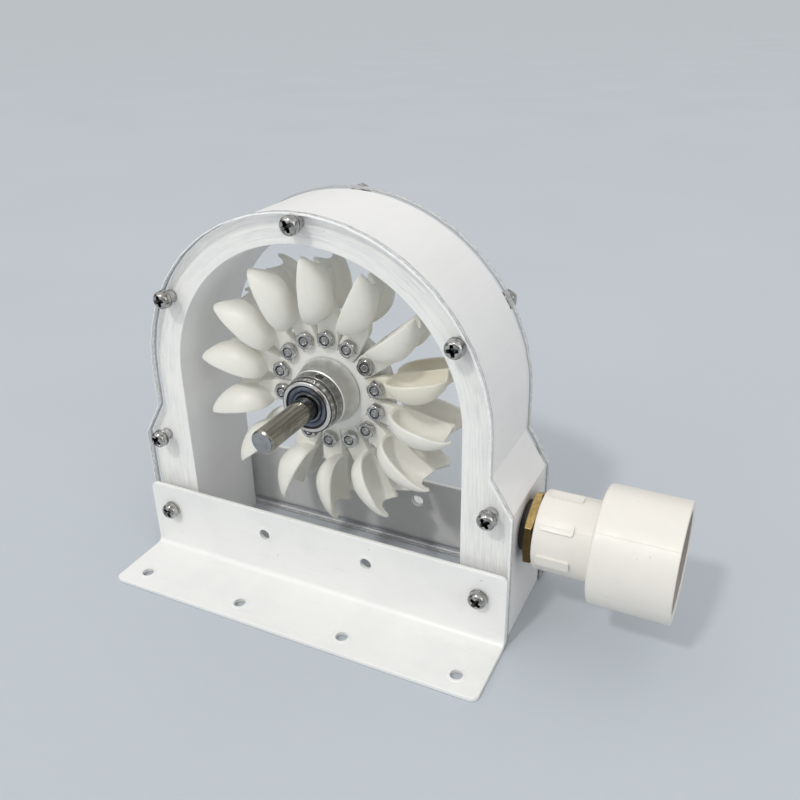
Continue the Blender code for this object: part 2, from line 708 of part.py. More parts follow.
housing = new_empty("housing", AXIS_PLACE)
make_ring(housing)
make_cover("front_cover", 0, housing)
make_cover("back_cover", RING_BACK + SEAT_GAP, housing)
make_bracket("front_bracket", -1, -SEAT_GAP, housing)
make_bracket("back_bracket", 1, STACK_DEPTH + SEAT_GAP, housing)
make_screws(housing)
make_bearing("front_bearing", 0, housing)
make_bearing("back_bearing", STACK_DEPTH - BEARING_WIDTH, housing)
make_nozzle_fitting(housing)
make_pipe_adapter(housing)

runner = new_empty("runner", AXIS_PLACE)
make_shaft(runner)
make_hub(runner)
make_disc(runner)
make_buckets(runner)
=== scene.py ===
"""The looks of a small bench-top Pelton turbine: smooth detailed pieces that stand for the
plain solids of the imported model, their materials, a pale floor, soft light and the camera.

Metres. Shapes are made round the shaft axis: x across, y along the shaft to the back, z up,
from the point where the axis meets the front cover's front face.
"""
import json
import math

import bmesh
import bpy
from mathutils import Matrix, Vector


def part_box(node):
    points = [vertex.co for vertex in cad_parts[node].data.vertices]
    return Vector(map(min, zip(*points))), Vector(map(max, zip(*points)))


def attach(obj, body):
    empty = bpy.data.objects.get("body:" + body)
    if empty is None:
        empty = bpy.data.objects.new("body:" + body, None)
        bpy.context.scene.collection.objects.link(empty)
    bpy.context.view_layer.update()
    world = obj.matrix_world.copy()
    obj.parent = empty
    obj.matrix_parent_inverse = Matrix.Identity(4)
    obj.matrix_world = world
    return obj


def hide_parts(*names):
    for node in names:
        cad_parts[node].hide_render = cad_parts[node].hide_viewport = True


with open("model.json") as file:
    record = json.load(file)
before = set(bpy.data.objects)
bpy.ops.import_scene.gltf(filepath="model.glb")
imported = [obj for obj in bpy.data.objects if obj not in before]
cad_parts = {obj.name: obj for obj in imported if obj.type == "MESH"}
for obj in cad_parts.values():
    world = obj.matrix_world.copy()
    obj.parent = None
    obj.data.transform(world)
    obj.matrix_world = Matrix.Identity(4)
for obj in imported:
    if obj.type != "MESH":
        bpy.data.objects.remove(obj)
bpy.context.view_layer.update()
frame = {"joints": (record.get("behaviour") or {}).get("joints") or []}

MM = 0.001

# The frame's own places
JOINT_PLACE = frame["joints"][0]["pos_m"]
AXIS = Vector((JOINT_PLACE[0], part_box("front_cover")[0].y, JOINT_PLACE[2]))


def low(node):
    """Lowest corner of a node, measured from the shaft axis."""
    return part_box(node)[0] - AXIS


def high(node):
    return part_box(node)[1] - AXIS


# Housing outline, from the shaft axis
FLOOR_Z = low("housing_ring").z
FOOT_HALF_WIDTH = high("housing_ring").x
ARCH_RADIUS = high("housing_ring").z
PINCH_DROP = 12.2 * MM
FLARE_DROP = 24.5 * MM
WINDOW_RADIUS = 53.0 * MM
ARCH_STEPS = 120
RING_FRONT = low("housing_ring").y
RING_BACK = high("housing_ring").y
RING_EDGE = 0.45 * MM
COVER_EDGE = 0.45 * MM
RING_INSET = 0.7 * MM
COVER_SHADE_LINE = (RING_BACK - RING_FRONT) / 2 + 0.95 * MM  # where the painted shade line ends, from the middle
SAW_WAVE = 0.18 * MM
# Width of the painted highlight along the window's edge
LIT_BAND_WIDTH = 2.0 * MM
ACRYLIC_IOR = 1.49

# Brackets
BRACKET_HALF_LENGTH = high("front_bracket").x
BRACKET_TOP = high("front_bracket").z
BRACKET_THICKNESS = 1.6 * MM
BRACKET_REACH = high("front_bracket").y - low("front_bracket").y
BEND_RADIUS = 3.5 * MM
BRACKET_CORNER = 2.5 * MM
BRACKET_EDGE = 0.35 * MM
HOLE_RADIUS = 2.35 * MM
LEG_HOLE_X = (-20.6 * MM, 20.6 * MM)
FOOT_HOLE_X = (-61.8 * MM, *LEG_HOLE_X, 61.8 * MM)
FOOT_HOLE_Y = -20.0 * MM
LEG_HOLE_Z = -54.8 * MM

# Screws and nuts
SHANK_RADIUS = 1.5 * MM
SCREW_HOLE_RADIUS = 1.8 * MM
HEAD_RADIUS = 3.05 * MM
HEAD_HEIGHT = 2.4 * MM
CROSS_DEPTH = 1.5 * MM
THREAD_PITCH = 0.5 * MM
THREAD_DEPTH = 0.28 * MM
THREAD_LENGTH = 4.2 * MM
NUT_FLATS = 5.7 * MM
NUT_HEIGHT = 3.6 * MM
NUT_BORE = 1.35 * MM
RUNNER_NUT_FLATS = 5.5 * MM
RUNNER_NUT_HEIGHT = 2.4 * MM
RUNNER_NUT_BORE = 1.85 * MM
WASHER_RADIUS = 3.2 * MM
WASHER_THICKNESS = 0.5 * MM
SPRING_RADIUS = 2.95 * MM
SPRING_THICKNESS = 0.6 * MM
SCREW_TAIL = 0.8 * MM
SCREW_TURNS = {"top": 28, "upper_left": 12, "lower_left": 63, "bracket_left": 40,
               "upper_right": 8, "lower_right": 35, "bracket_right": 55}

# Bearing, shaft, hub and disc
BEARING_RADIUS = high("front_bearing").x
BEARING_WIDTH = high("front_bearing").y - low("front_bearing").y
# Bearing materials: race, near-black painted shade for the grooves and the bore, and shield
RACE, GAP_SHADE, SHIELD = 0, 1, 2
# From the outer race to the inner one: radius and depth below the face in mm, and material
BEARING_FACE = (
    (9.0, 0.5, GAP_SHADE), (8.95, 0.3, RACE), (8.82, 0.1, RACE), (8.6, 0, RACE), (7.8, 0, RACE),
    (7.7, 0.12, RACE), (7.65, 0.6, GAP_SHADE), (7.1, 0.6, GAP_SHADE), (7.0, 0.32, SHIELD),
    (6.8, 0.22, SHIELD), (6.1, 0.22, SHIELD), (6.0, 0.34, SHIELD), (5.75, 0.34, SHIELD),
    (5.65, 0.42, SHIELD), (5.6, 0.75, GAP_SHADE), (5.4, 0.75, GAP_SHADE), (5.35, 0.12, SHIELD),
    (5.25, 0, SHIELD))
SHAFT_RADIUS = 4.0 * MM
SHAFT_FRONT = low("shaft").y
SHAFT_BACK = high("shaft").y
HUB_FRONT = low("hub").y
HUB_BACK = high("hub").y
HUB_RADIUS = 11.8 * MM
HUB_STEP_RADIUS = 10.3 * MM
HUB_NECK_RADIUS = 9.8 * MM
HUB_STEP = 6.8 * MM
HUB_GROOVE = 0.5 * MM
SET_SCREW_Y = 5.0 * MM
SET_SCREW_RADIUS = 1.3 * MM
SET_SCREW_ANGLE = math.radians(74.5)
DISC_FRONT = low("runner_disc").y
DISC_BACK = high("runner_disc").y
DISC_BOSS_RADIUS = 15.2 * MM
DISC_BOSS_LIFT = 0.12 * MM
STEM_ROOT = 14.0 * MM
FLANGE_FRONT = 18.5 * MM
FLANGE_RADIUS = 22.8 * MM

# Buckets, in the frame of a bucket: u outwards, v along the shaft from the midplane, w square
# to the open face
BUCKET_COUNT = 14
FIRST_BUCKET = math.radians(-14.0)
RUNNER_MID = 17.9 * MM
BOLT_CIRCLE = 18.67 * MM
STEM_THICKNESS = 3.0 * MM
STEM_TOP = 4.0 * MM
CUP_CENTRE_U = 35.0 * MM
CUP_CENTRE_V = 6.35 * MM
CUP_FACE_W = 4.4 * MM
CUP_OUTER = {"out": 12.9 * MM, "in": 10.8 * MM, "side": 6.8 * MM, "mid": 6.6 * MM,
             "deep": 8.4 * MM}
CUP_WALL = 1.3 * MM
CUP_SKEW = 1.5 * MM
CUP_POINT = 2.1
CUP_RISE = 0.6 * MM
SPLITTER_HALF = 0.45 * MM
SPINE_HALF = 1.3 * MM
SPINE_DEPTH = 5.4 * MM
NOTCH_U = 45.1 * MM
NOTCH_DEPTH = 2.4 * MM
HORN_U = 48.6 * MM
HORN_V = 9.4 * MM
BUCKET_TRIANGLES = 11000

# Inlet, its axis along X
INLET_Y = (low("nozzle_fitting").y + high("nozzle_fitting").y) / 2
INLET_Z = (low("nozzle_fitting").z + high("nozzle_fitting").z) / 2
HEX_START = 72.8 * MM
HEX_END = 75.6 * MM
HEX_FLATS = 0.975 * (high("nozzle_fitting").z - low("nozzle_fitting").z)
# Radius of the painted shade ring where the fitting meets the wall
SHADOW_RING_RADIUS = 8.3 * MM
NIPPLE_RADIUS = 8.0 * MM
NIPPLE_BORE = 6.0 * MM
JET_RADIUS = 4.2 * MM
NIPPLE_START = low("nozzle_fitting").x
NIPPLE_THREAD = 14.0 * MM
ADAPTER_START = low("pipe_adapter").x
ADAPTER_RADIUS = 13.15 * MM
SOCKET_START = 96.7 * MM
SOCKET_END = high("pipe_adapter").x
SOCKET_RADIUS = high("pipe_adapter").z - INLET_Z
SOCKET_BORE = 16.4 * MM
RIB_TURN = math.radians(49.5)
RIB_STEP = math.radians(52)
RIB_HEIGHT = 0.8 * MM
RIB_WIDTH = 3.6 * MM
RIB_LENGTH = 10.7 * MM
RIB_START = ADAPTER_START + 1.8 * MM
SHOULDER = 94.9 * MM
SEAM_TURN = math.radians(46)
SEAM_WIDTH = 0.6 * MM
SEAM_HEIGHT = 0.15 * MM
SUNK = 0.6 * MM  # how far a seam's foot lies in the wall; a rib's lies twice as far in it

# Turns of a shape made about local Z
ALONG_Y = Matrix.Rotation(math.radians(-90), 4, "X")
FACING_FRONT = Matrix.Rotation(math.radians(90), 4, "X")
ALONG_X = Matrix.Rotation(math.radians(90), 4, "Y")
FACING_SIDE = Matrix(((0, 0, 1, 0), (1, 0, 0, 0), (0, 1, 0, 0), (0, 0, 0, 1)))

SMOOTH_ANGLE = math.radians(38)
WELD = 0.001 * MM


# Materials

class Look:
    """A material whose nodes are added from left to right, in the piece's own coordinates."""

    def __init__(self, name):
        self.material = bpy.data.materials.new(name)
        self.material.use_nodes = True
        self.tree = self.material.node_tree
        self.shader = self.tree.nodes["Principled BSDF"]
        self.place = self.add("ShaderNodeTexCoord").outputs["Object"]

    def add(self, kind, values=None, **settings):
        """A node. A value is a number, a colour or another node's output."""
        node = self.tree.nodes.new(kind)
        for key, value in settings.items():
            setattr(node, key, value)
        for key, value in (values or {}).items():
            self.feed(node.inputs[key], value)
        return node

    def feed(self, socket, value):
        if isinstance(value, bpy.types.NodeSocket):
            self.tree.links.new(value, socket)
        else:
            socket.default_value = value

    def noise(self, scale, detail=3.0, roughness=0.55, stretch=(1, 1, 1), shift=0.0, place=None):
        """Noise from 0 to 1 with about this many spots to a metre."""
        mapped = self.add("ShaderNodeMapping", {"Vector": place or self.place, "Scale": stretch,
                                                "Location": (shift, shift, shift)}).outputs[0]
        values = {"Vector": mapped, "Scale": scale, "Detail": detail, "Roughness": roughness}
        return self.add("ShaderNodeTexNoise", values).outputs["Fac"]

    def ramp(self, value, start, end, low_value=0.0, high_value=1.0):
        values = {0: value, 1: start, 2: end, 3: low_value, 4: high_value}
        return self.add("ShaderNodeMapRange", values).outputs[0]

    def maths(self, operation, first, second):
        return self.add("ShaderNodeMath", {0: first, 1: second}, operation=operation).outputs[0]

    def mix(self, factor, first, second):
        values = {0: factor, 6: rgba(first), 7: rgba(second)}
        return self.add("ShaderNodeMix", values, data_type="RGBA").outputs[2]

    def specks(self, colour, speck, scale=900, level=0.79, share=0.6, shift=0.7):
        """Tiny specks of another colour, fewer with a higher level."""
        spots = self.noise(scale, 1, 0.4, shift=shift)
        return self.mix(self.ramp(spots, level, level + 0.03, 0.0, share), colour, speck)

    def bump(self, height, distance, strength=1.0, under=None):
        values = {"Height": height, "Distance": distance, "Strength": strength}
        if under:
            values["Normal"] = under
        return self.add("ShaderNodeBump", values).outputs[0]

    def use(self, **outputs):
        """Feeds the shader's inputs, an underscore standing for a space."""
        for key, value in outputs.items():
            self.feed(self.shader.inputs[key.replace("_", " ")], value)
        return self.material


def rgba(colour):
    return colour if isinstance(colour, bpy.types.NodeSocket) else (*colour, 1.0)


def white_plastic(name, light, dark, speck, roughness, streak=(1, 1, 1)):
    """Printed or moulded plastic: clouded colour, streaks, tiny specks and a fine grain."""
    look = Look(name)
    clouds = look.ramp(look.noise(45, 4), 0.35, 0.7)
    streaks = look.ramp(look.noise(140, 4, 0.6, stretch=streak, shift=0.3), 0.35, 0.75)
    tone = look.maths("MULTIPLY", look.maths("ADD", clouds, streaks), 0.5)
    colour = look.specks(look.mix(tone, light, dark), speck)
    rough = look.ramp(streaks, 0, 1, roughness - 0.06, roughness + 0.1)
    fine = look.noise(2600, 2, 0.6, stretch=streak)
    wide = look.noise(240, 3, 0.5, stretch=streak, shift=0.1)
    normal = look.bump(wide, 0.12 * MM, 0.6, look.bump(fine, 0.02 * MM, 0.7))
    return look.use(Base_Color=colour, Roughness=rough, Normal=normal)


def printed_face(light, warm, grey):
    """The print's front and back: strokes along the outline, and a painted highlight at the window.
    The strokes vary with the distance from the axis, and only slowly along the outline."""
    look = Look("printed_face")
    axes = look.add("ShaderNodeSeparateXYZ", {"Vector": look.place}).outputs
    above = look.maths("MAXIMUM", axes[2], 0.0)
    flat = look.add("ShaderNodeCombineXYZ", {"X": axes[0], "Y": above}).outputs[0]
    radius = look.add("ShaderNodeVectorMath", {0: flat}, operation="LENGTH").outputs["Value"]
    turn = look.maths("MULTIPLY", look.maths("ARCTAN2", above, axes[0]), 0.003)
    height = look.maths("MULTIPLY", axes[2], 0.05)
    along = look.add("ShaderNodeCombineXYZ", {"X": radius, "Y": turn, "Z": height}).outputs[0]
    broad = look.ramp(look.noise(600, 4, 0.6, place=along), 0.4, 0.6)
    fine = look.ramp(look.noise(1700, 3, 0.6, place=along, shift=0.3), 0.42, 0.62)
    cloud = look.ramp(look.noise(60, 3), 0.35, 0.6, 0.15, 0.8)
    colour = look.mix(look.maths("MULTIPLY", fine, cloud), look.mix(broad, light, warm), grey)
    # Painted highlight: a lighter band along the window's edge, for light caught there
    lit_band_end = WINDOW_RADIUS + LIT_BAND_WIDTH
    lit_band = look.ramp(radius, lit_band_end, lit_band_end + 0.3 * MM, 0.55, 0.0)
    colour = look.specks(look.mix(lit_band, colour, (0.93, 0.925, 0.90)), (0.35, 0.33, 0.30))
    normal = look.bump(broad, 0.08 * MM, 0.6, look.bump(fine, 0.02 * MM, 0.7))
    rough = look.ramp(fine, 0, 1, 0.42, 0.6)
    return look.use(Base_Color=colour, Roughness=rough, Normal=normal)


def metal(name, light, dark, roughness, streak=(1, 1, 1), scale=300, grain=0.01 * MM,
          stain=None, turned=0.0, shade_below=None):
    """Bare metal with tool marks along one direction, fine scratches and a few stains. Below a
    height, where one is given, its colour is painted dark as shade, and turned gives a lathe's
    stretched highlights."""
    look = Look(name)
    marks = look.noise(scale, 3, 0.55, stretch=streak)
    clouds = look.noise(120, 3, 0.5, shift=0.2)
    tone = look.ramp(marks, 0.3, 0.72)
    colour = look.mix(tone, light, dark)
    colour = look.mix(look.ramp(clouds, 0.52, 0.75, 0.0, 0.7), colour, stain or dark)
    if shade_below is not None:
        # Painted shade: the colour turns dark brown below the given height, for faces turned away
        # from the light
        height = look.add("ShaderNodeSeparateXYZ", {"Vector": look.place}).outputs["Z"]
        lower_shade = look.ramp(height, shade_below - 0.3 * MM, shade_below, 0.9, 0.0)
        colour = look.mix(lower_shade, colour, (0.07, 0.043, 0.016))
    rough = look.maths("ADD", look.ramp(marks, 0.3, 0.7, roughness * 0.75, roughness * 1.3),
                       look.ramp(clouds, 0.45, 0.75, 0.0, 0.08))
    normal = look.bump(look.noise(scale * 4, 3, 0.6, stretch=streak), grain, 0.8)
    if turned:
        round_y = look.add("ShaderNodeTangent", direction_type="RADIAL", axis="Y").outputs[0]
        look.use(Anisotropic=turned, Tangent=round_y)
    return look.use(Base_Color=colour, Metallic=1.0, Roughness=rough, Normal=normal)


def acrylic_face():
    """Clear sheet: nearly unseen from the front, with scratches and haze. A painted reflection
    makes it whiter and less clear where it is seen at a slant.
    """
    look = Look("acrylic_face")
    fine = look.noise(700, 4, 0.7, stretch=(1, 1, 0.05))
    cross = look.noise(600, 4, 0.7, stretch=(0.06, 1, 1), shift=0.5)
    scratches = look.maths("ADD", look.ramp(fine, 0.64, 0.74, 0.0, 0.08),
                           look.ramp(cross, 0.65, 0.74, 0.0, 0.06))
    haze = look.ramp(look.noise(30, 3), 0.4, 0.75, 0.02, 0.05)
    # Painted reflection: more opaque, and so whiter, towards grazing views
    glancing_sheen = look.add("ShaderNodeLayerWeight", {"Blend": 0.25}).outputs["Facing"]
    glancing_sheen = look.ramp(glancing_sheen, 0.3, 1.0, 0.0, 0.25)
    alpha = look.maths("ADD", scratches, look.maths("ADD", haze, glancing_sheen))
    colour = look.mix(haze, (0.93, 0.945, 0.95), (0.97, 0.975, 0.98))
    rough = look.ramp(look.noise(400, 3), 0.3, 0.8, 0.03, 0.15)
    return look.use(Base_Color=colour, Alpha=alpha, Roughness=rough, IOR=ACRYLIC_IOR)


def acrylic_edge(name, light, dark, thin, thick):
    """The sheet's sawn edge: cloudy, with marks across its thickness and white chips, and a dark
    ragged line of painted shade beside the ring, where the gap lies in shadow."""
    look = Look(name)
    depth = look.add("ShaderNodeSeparateXYZ", {"Vector": look.place}).outputs["Y"]
    middle = (RING_FRONT + RING_BACK) / 2
    away = look.maths("ABSOLUTE", look.maths("SUBTRACT", depth, middle), 0.0)
    saw = look.noise(700, 4, 0.7, stretch=(0.6, 1.6, 0.6))
    cloud = look.noise(160, 3, 0.6, shift=0.4)
    chips = look.ramp(look.noise(1100, 2, 0.5, shift=0.8), 0.6, 0.66)
    colour = look.mix(look.ramp(saw, 0.35, 0.7), light, dark)
    colour = look.mix(chips, colour, (0.97, 0.97, 0.97))
    # Painted shade: a dark, nearly opaque line on the part of the edge next to the ring
    ragged = look.maths("ADD", away, look.maths("MULTIPLY", cloud, 0.5 * MM))
    line = look.ramp(ragged, COVER_SHADE_LINE, COVER_SHADE_LINE + 0.15 * MM, 0.7, 0.0)
    colour = look.mix(line, colour, (0.20, 0.195, 0.19))
    alpha = look.ramp(look.maths("ADD", saw, cloud), 0.8, 1.25, thick, thin)
    alpha = look.maths("MAXIMUM", alpha, line)
    rough = look.ramp(cloud, 0.3, 0.7, 0.2, 0.45)
    normal = look.bump(saw, 0.15 * MM, 0.8)
    return look.use(Base_Color=colour, Alpha=alpha, Roughness=rough, Normal=normal,
                    IOR=ACRYLIC_IOR)


def painted_sheet():
    """Thick white paint over bent sheet: slight orange peel, smudges and a few specks."""
    look = Look("white_paint")
    smudge = look.ramp(look.noise(38, 5, 0.6), 0.45, 0.75)
    rubs = look.ramp(look.noise(260, 5, 0.7, stretch=(0.15, 1, 1)), 0.58, 0.8)
    colour = look.mix(smudge, (0.845, 0.845, 0.825), (0.785, 0.785, 0.77))
    colour = look.mix(look.maths("MULTIPLY", rubs, 0.35), colour, (0.66, 0.66, 0.65))
    colour = look.specks(colour, (0.42, 0.40, 0.37), 800, 0.80, 0.5, 0.2)
    rough = look.ramp(smudge, 0, 1, 0.34, 0.48)
    peel = look.noise(900, 2, 0.5)
    normal = look.bump(look.noise(90, 3), 0.15 * MM, 0.5, look.bump(peel, 0.02 * MM, 0.9))
    return look.use(Base_Color=colour, Roughness=rough, Normal=normal)


def resin(name, light, dark, shade, shift):
    """Cast resin: waxy cream with clouds, pits and specks."""
    look = Look(name)
    clouds = look.ramp(look.noise(110, 4, 0.6, shift=shift), 0.35, 0.7)
    blotch = look.ramp(look.noise(60, 3, 0.5, shift=shift + 0.4), 0.5, 0.75, 0.0, 0.6)
    colour = look.mix(clouds, light, dark)
    colour = look.mix(blotch, colour, shade)
    colour = look.specks(colour, (0.30, 0.27, 0.22), 1000, 0.78, 0.5, shift + 0.1)
    rough = look.ramp(clouds, 0, 1, 0.34, 0.5)
    fine = look.noise(1500, 3, 0.6, shift=shift)
    wide = look.noise(260, 3, 0.5, shift=shift)
    normal = look.bump(wide, 0.1 * MM, 0.6, look.bump(fine, 0.015 * MM, 0.8))
    look.use(Subsurface_Weight=0.08, Subsurface_Radius=(1.0, 0.8, 0.5),
             Subsurface_Scale=1.2 * MM)
    return look.use(Base_Color=colour, Roughness=rough, Normal=normal)


def painted_gap_shade():
    # Near-black painted shade for grooves, gaps and holes in shadow, its tone varying a little
    look = Look("painted_gap_shade")
    gap_noise = look.noise(900, 4, 0.6)
    colour = look.mix(look.ramp(gap_noise, 0.3, 0.7), (0.012, 0.012, 0.013), (0.05, 0.048, 0.045))
    return look.use(Base_Color=colour, Roughness=look.ramp(gap_noise, 0.3, 0.7, 0.45, 0.8),
                    Normal=look.bump(gap_noise, 0.05 * MM, 0.6))


# Shapes

def rounded(corners, steps=4):
    """A closed outline from (x, y, radius) corners, each with its rounding."""
    points = []
    count = len(corners)
    for i, (x, y, radius) in enumerate(corners):
        here = Vector((x, y))
        before = Vector(corners[i - 1][:2]) - here
        after = Vector(corners[(i + 1) % count][:2]) - here
        angle = before.angle(after)
        if radius <= 0 or angle > math.pi - 1e-3:
            points.append((x, y))
            continue
        reach = min(radius / math.tan(angle / 2), 0.49 * before.length, 0.49 * after.length)
        radius = reach * math.tan(angle / 2)
        middle = here + ((before.normalized() + after.normalized()).normalized()
                         * (radius / math.sin(angle / 2)))
        start = here + before.normalized() * reach - middle
        turn = start.angle_signed(here + after.normalized() * reach - middle)
        for step in range(steps + 1):
            spoke = start.copy()
            spoke.rotate(Matrix.Rotation(-turn * step / steps, 2))
            points.append(tuple(middle + spoke))
    return points


def arc(centre, radius, start, end, steps):
    angles = [math.radians(start + (end - start) * i / steps) for i in range(steps + 1)]
    return [(centre[0] + radius * math.cos(a), centre[1] + radius * math.sin(a)) for a in angles]


def circle(centre, radius, steps):
    return arc(centre, radius, 0, 360 * (steps - 1) / steps, steps - 1)


def hexagon(flats):
    return arc((0, 0), flats / math.sqrt(3), 0, 300, 5)


def at(x, y, z):
    return Matrix.Translation((x, y, z))


def made(shape, *values, **more):
    """A new bmesh with one shape in it."""
    bm = bmesh.new()
    shape(bm, *values, **more)
    return bm


def mesh_from(name, bm):
    mesh = bpy.data.meshes.new(name)
    bm.to_mesh(mesh)
    bm.free()
    return mesh


def new_object(name, data, turn=None):
    obj = bpy.data.objects.new(name, data)
    obj.matrix_world = at(*AXIS) @ (turn or Matrix())
    bpy.context.scene.collection.objects.link(obj)
    return obj


def solid(name, bm):
    """An object with its faces turned outwards."""
    bmesh.ops.recalc_face_normals(bm, faces=bm.faces)
    return new_object(name, mesh_from(name, bm))


def taken(obj):
    """The object's data, the object itself removed."""
    data = obj.data
    bpy.data.objects.remove(obj, do_unlink=True)
    return data


def evaluated(obj):
    """The object's mesh with its modifiers applied."""
    bpy.context.view_layer.update()
    depsgraph = bpy.context.evaluated_depsgraph_get()
    return bpy.data.meshes.new_from_object(obj.evaluated_get(depsgraph))


def apply_modifiers(obj):
    mesh = evaluated(obj)
    obj.modifiers.clear()
    old = obj.data
    obj.data = mesh
    bpy.data.meshes.remove(old)


def lathe(bm, profile, steps, matrix, closed=False, slots=None):
    """Turns (radius, height) points about local Z. The first and last point of an open
    profile may lie on the axis, where a ring is a single point that each face takes once. Slots
    gives each stretch's material."""
    rings = []
    for radius, height in profile:
        if radius < 1e-7:
            rings.append([bm.verts.new(matrix @ Vector((0, 0, height)))])
            continue
        spokes = [(math.cos(math.tau * i / steps), math.sin(math.tau * i / steps))
                  for i in range(steps)]
        rings.append([bm.verts.new(matrix @ Vector((radius * x, radius * y, height)))
                      for x, y in spokes])
    pairs = list(zip(rings, rings[1:]))
    if closed:
        pairs.append((rings[-1], rings[0]))
    for number, (first, second) in enumerate(pairs):
        for i in range(steps):
            j = (i + 1) % steps
            corners = (first[i % len(first)], second[i % len(second)],
                       second[j % len(second)], first[j % len(first)])
            face = bm.faces.new(list(dict.fromkeys(corners)))
            if slots:
                face.material_index = slots[number]


def prism(bm, outline, low_z, high_z, matrix):
    """A straight piece with the outline at both ends."""
    close_ends(bm, *[[bm.verts.new(matrix @ Vector((x, y, z))) for x, y in outline]
                     for z in (low_z, high_z)])


def close_ends(bm, low_ring, high_ring):
    """Two ends from their corners, and the sides between them."""
    bm.faces.new(list(reversed(low_ring)))
    bm.faces.new(high_ring)
    for i in range(len(low_ring)):
        j = (i + 1) % len(low_ring)
        bm.faces.new((low_ring[i], low_ring[j], high_ring[j], high_ring[i]))


def combine(obj, bm, operation):
    """Cuts, joins or crops a mesh with another."""
    tool = solid("tool", bm)
    modifier = obj.modifiers.new("shape", "BOOLEAN")
    modifier.operation = operation
    modifier.solver = "EXACT"
    modifier.object = tool
    apply_modifiers(obj)
    bpy.data.meshes.remove(taken(tool))


def plate(name, outlines, front, back, edge):
    """A flat upright piece with rounded edges, from an outline and the outlines of its holes."""
    curve = bpy.data.curves.new(name, "CURVE")
    curve.dimensions = "2D"
    curve.fill_mode = "BOTH"
    curve.extrude = (back - front) / 2 - edge
    curve.bevel_depth = edge
    curve.bevel_resolution = 1
    curve.offset = -edge
    for number, outline in enumerate(outlines):
        spline = curve.splines.new("POLY")
        spline.points.add(len(outline) - 1)
        spline.use_cyclic_u = True
        places = outline if number == 0 else list(reversed(outline))
        for point, place in zip(spline.points, places):
            point.co = (place[0], place[1], 0, 1)
    drawn = new_object(name + "_drawn", curve)
    mesh = evaluated(drawn)
    bpy.data.curves.remove(taken(drawn))
    bm = bmesh.new()
    bm.from_mesh(mesh)
    bpy.data.meshes.remove(mesh)
    bmesh.ops.remove_doubles(bm, verts=bm.verts, dist=WELD)
    turn = at(0, (front + back) / 2, 0) @ FACING_FRONT
    bmesh.ops.transform(bm, matrix=turn, verts=bm.verts)
    return solid(name, bm)


def soften(obj, width, steps=2, angle=35):
    modifier = obj.modifiers.new("edges", "BEVEL")
    modifier.width = width
    modifier.segments = steps
    modifier.limit_method = "ANGLE"
    modifier.angle_limit = math.radians(angle)
    modifier.miter_outer = "MITER_ARC"
    apply_modifiers(obj)


def dress(obj, body, nodes, slot, materials):
    """Smooth shading, materials, and the piece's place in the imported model."""
    mesh = obj.data
    mesh.shade_smooth()
    mesh.set_sharp_from_angle(angle=SMOOTH_ANGLE)
    for material in materials:
        mesh.materials.append(material)
    normals = obj.modifiers.new("normals", "WEIGHTED_NORMAL")
    normals.keep_sharp = True
    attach(obj, body)
    if nodes:
        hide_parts(*nodes)
    return obj


def dress_new(name, bm, *place_and_looks):
    return dress(solid(name, bm), *place_and_looks)


# Housing

def screw_places():
    """The clamp screws as (x, z), read from the frame."""
    places = {}
    for side in SCREW_TURNS:
        lowest, highest = low("screw_" + side), high("screw_" + side)
        places[side] = ((lowest.x + highest.x) / 2, (lowest.z + highest.z) / 2)
    return places


def housing_outline(inset, wave):
    """The housing's shape from the front: foot, flare, pinch and arch. A wave makes the arch as
    uneven as a sawn edge."""
    slope = math.atan2(FOOT_HALF_WIDTH - ARCH_RADIUS, FLARE_DROP - PINCH_DROP)
    lean = inset * math.tan(slope / 2)
    right = [(FOOT_HALF_WIDTH - inset, FLOOR_Z, 0.5 * MM),
             (FOOT_HALF_WIDTH - inset, -FLARE_DROP - lean, 0.8 * MM),
             (ARCH_RADIUS - inset, -PINCH_DROP - lean, 0.6 * MM)]
    left = [(-x, z, r) for x, z, r in reversed(right)]
    over = []
    for x, z in arc((0, 0), 1, 0, 180, ARCH_STEPS):
        turn = math.atan2(z, x)
        dent = wave * (0.5 + 0.3 * math.sin(37 * turn) + 0.2 * math.sin(61 * turn + 1))
        radius = ARCH_RADIUS - inset - dent
        over.append((x * radius, z * radius, 0))
    return rounded(right + over + left, 3)


def screw_holes():
    return [circle(place, SCREW_HOLE_RADIUS, 24) for place in screw_places().values()]


def make_ring(materials):
    """The printed arch, a little inside the covers' outline."""
    arch = arc((0, 0), WINDOW_RADIUS, 180, 0, ARCH_STEPS)
    window = [(-WINDOW_RADIUS, FLOOR_Z)] + arch + [(WINDOW_RADIUS, FLOOR_Z)]
    outlines = [housing_outline(RING_INSET, 0) + window] + screw_holes()
    ring = plate("ring", outlines, RING_FRONT, RING_BACK, RING_EDGE)
    wall_hole = circle((0, 0), NIPPLE_RADIUS + 0.4 * MM, 48)
    start = at(WINDOW_RADIUS - 5 * MM, INLET_Y, INLET_Z)
    combine(ring, made(prism, wall_hole, 0, 30 * MM, start @ ALONG_X), "DIFFERENCE")
    for face in ring.data.polygons:
        face.material_index = 1 if abs(face.normal.y) > 0.5 else 0
    dress(ring, "housing", ["housing_ring"], "printed_white", materials)


def make_cover(name, node, materials):
    """Clear from the front, with a cloudy edge and a near-white corner that is partly a painted
    highlight.
    """
    bearing_hole = circle((0, 0), BEARING_RADIUS - 0.1 * MM, 96)
    outlines = [housing_outline(0, SAW_WAVE), bearing_hole] + screw_holes()
    cover = plate(name, outlines, low(node).y, high(node).y, COVER_EDGE)
    for face in cover.data.polygons:
        facing = abs(face.normal.y)
        at_bearing = face.center.xz.length < BEARING_RADIUS + MM
        face.material_index = 0 if facing > 0.95 or at_bearing else 2 if facing > 0.1 else 1
    dress(cover, "housing", [node], "clear_acrylic", materials)


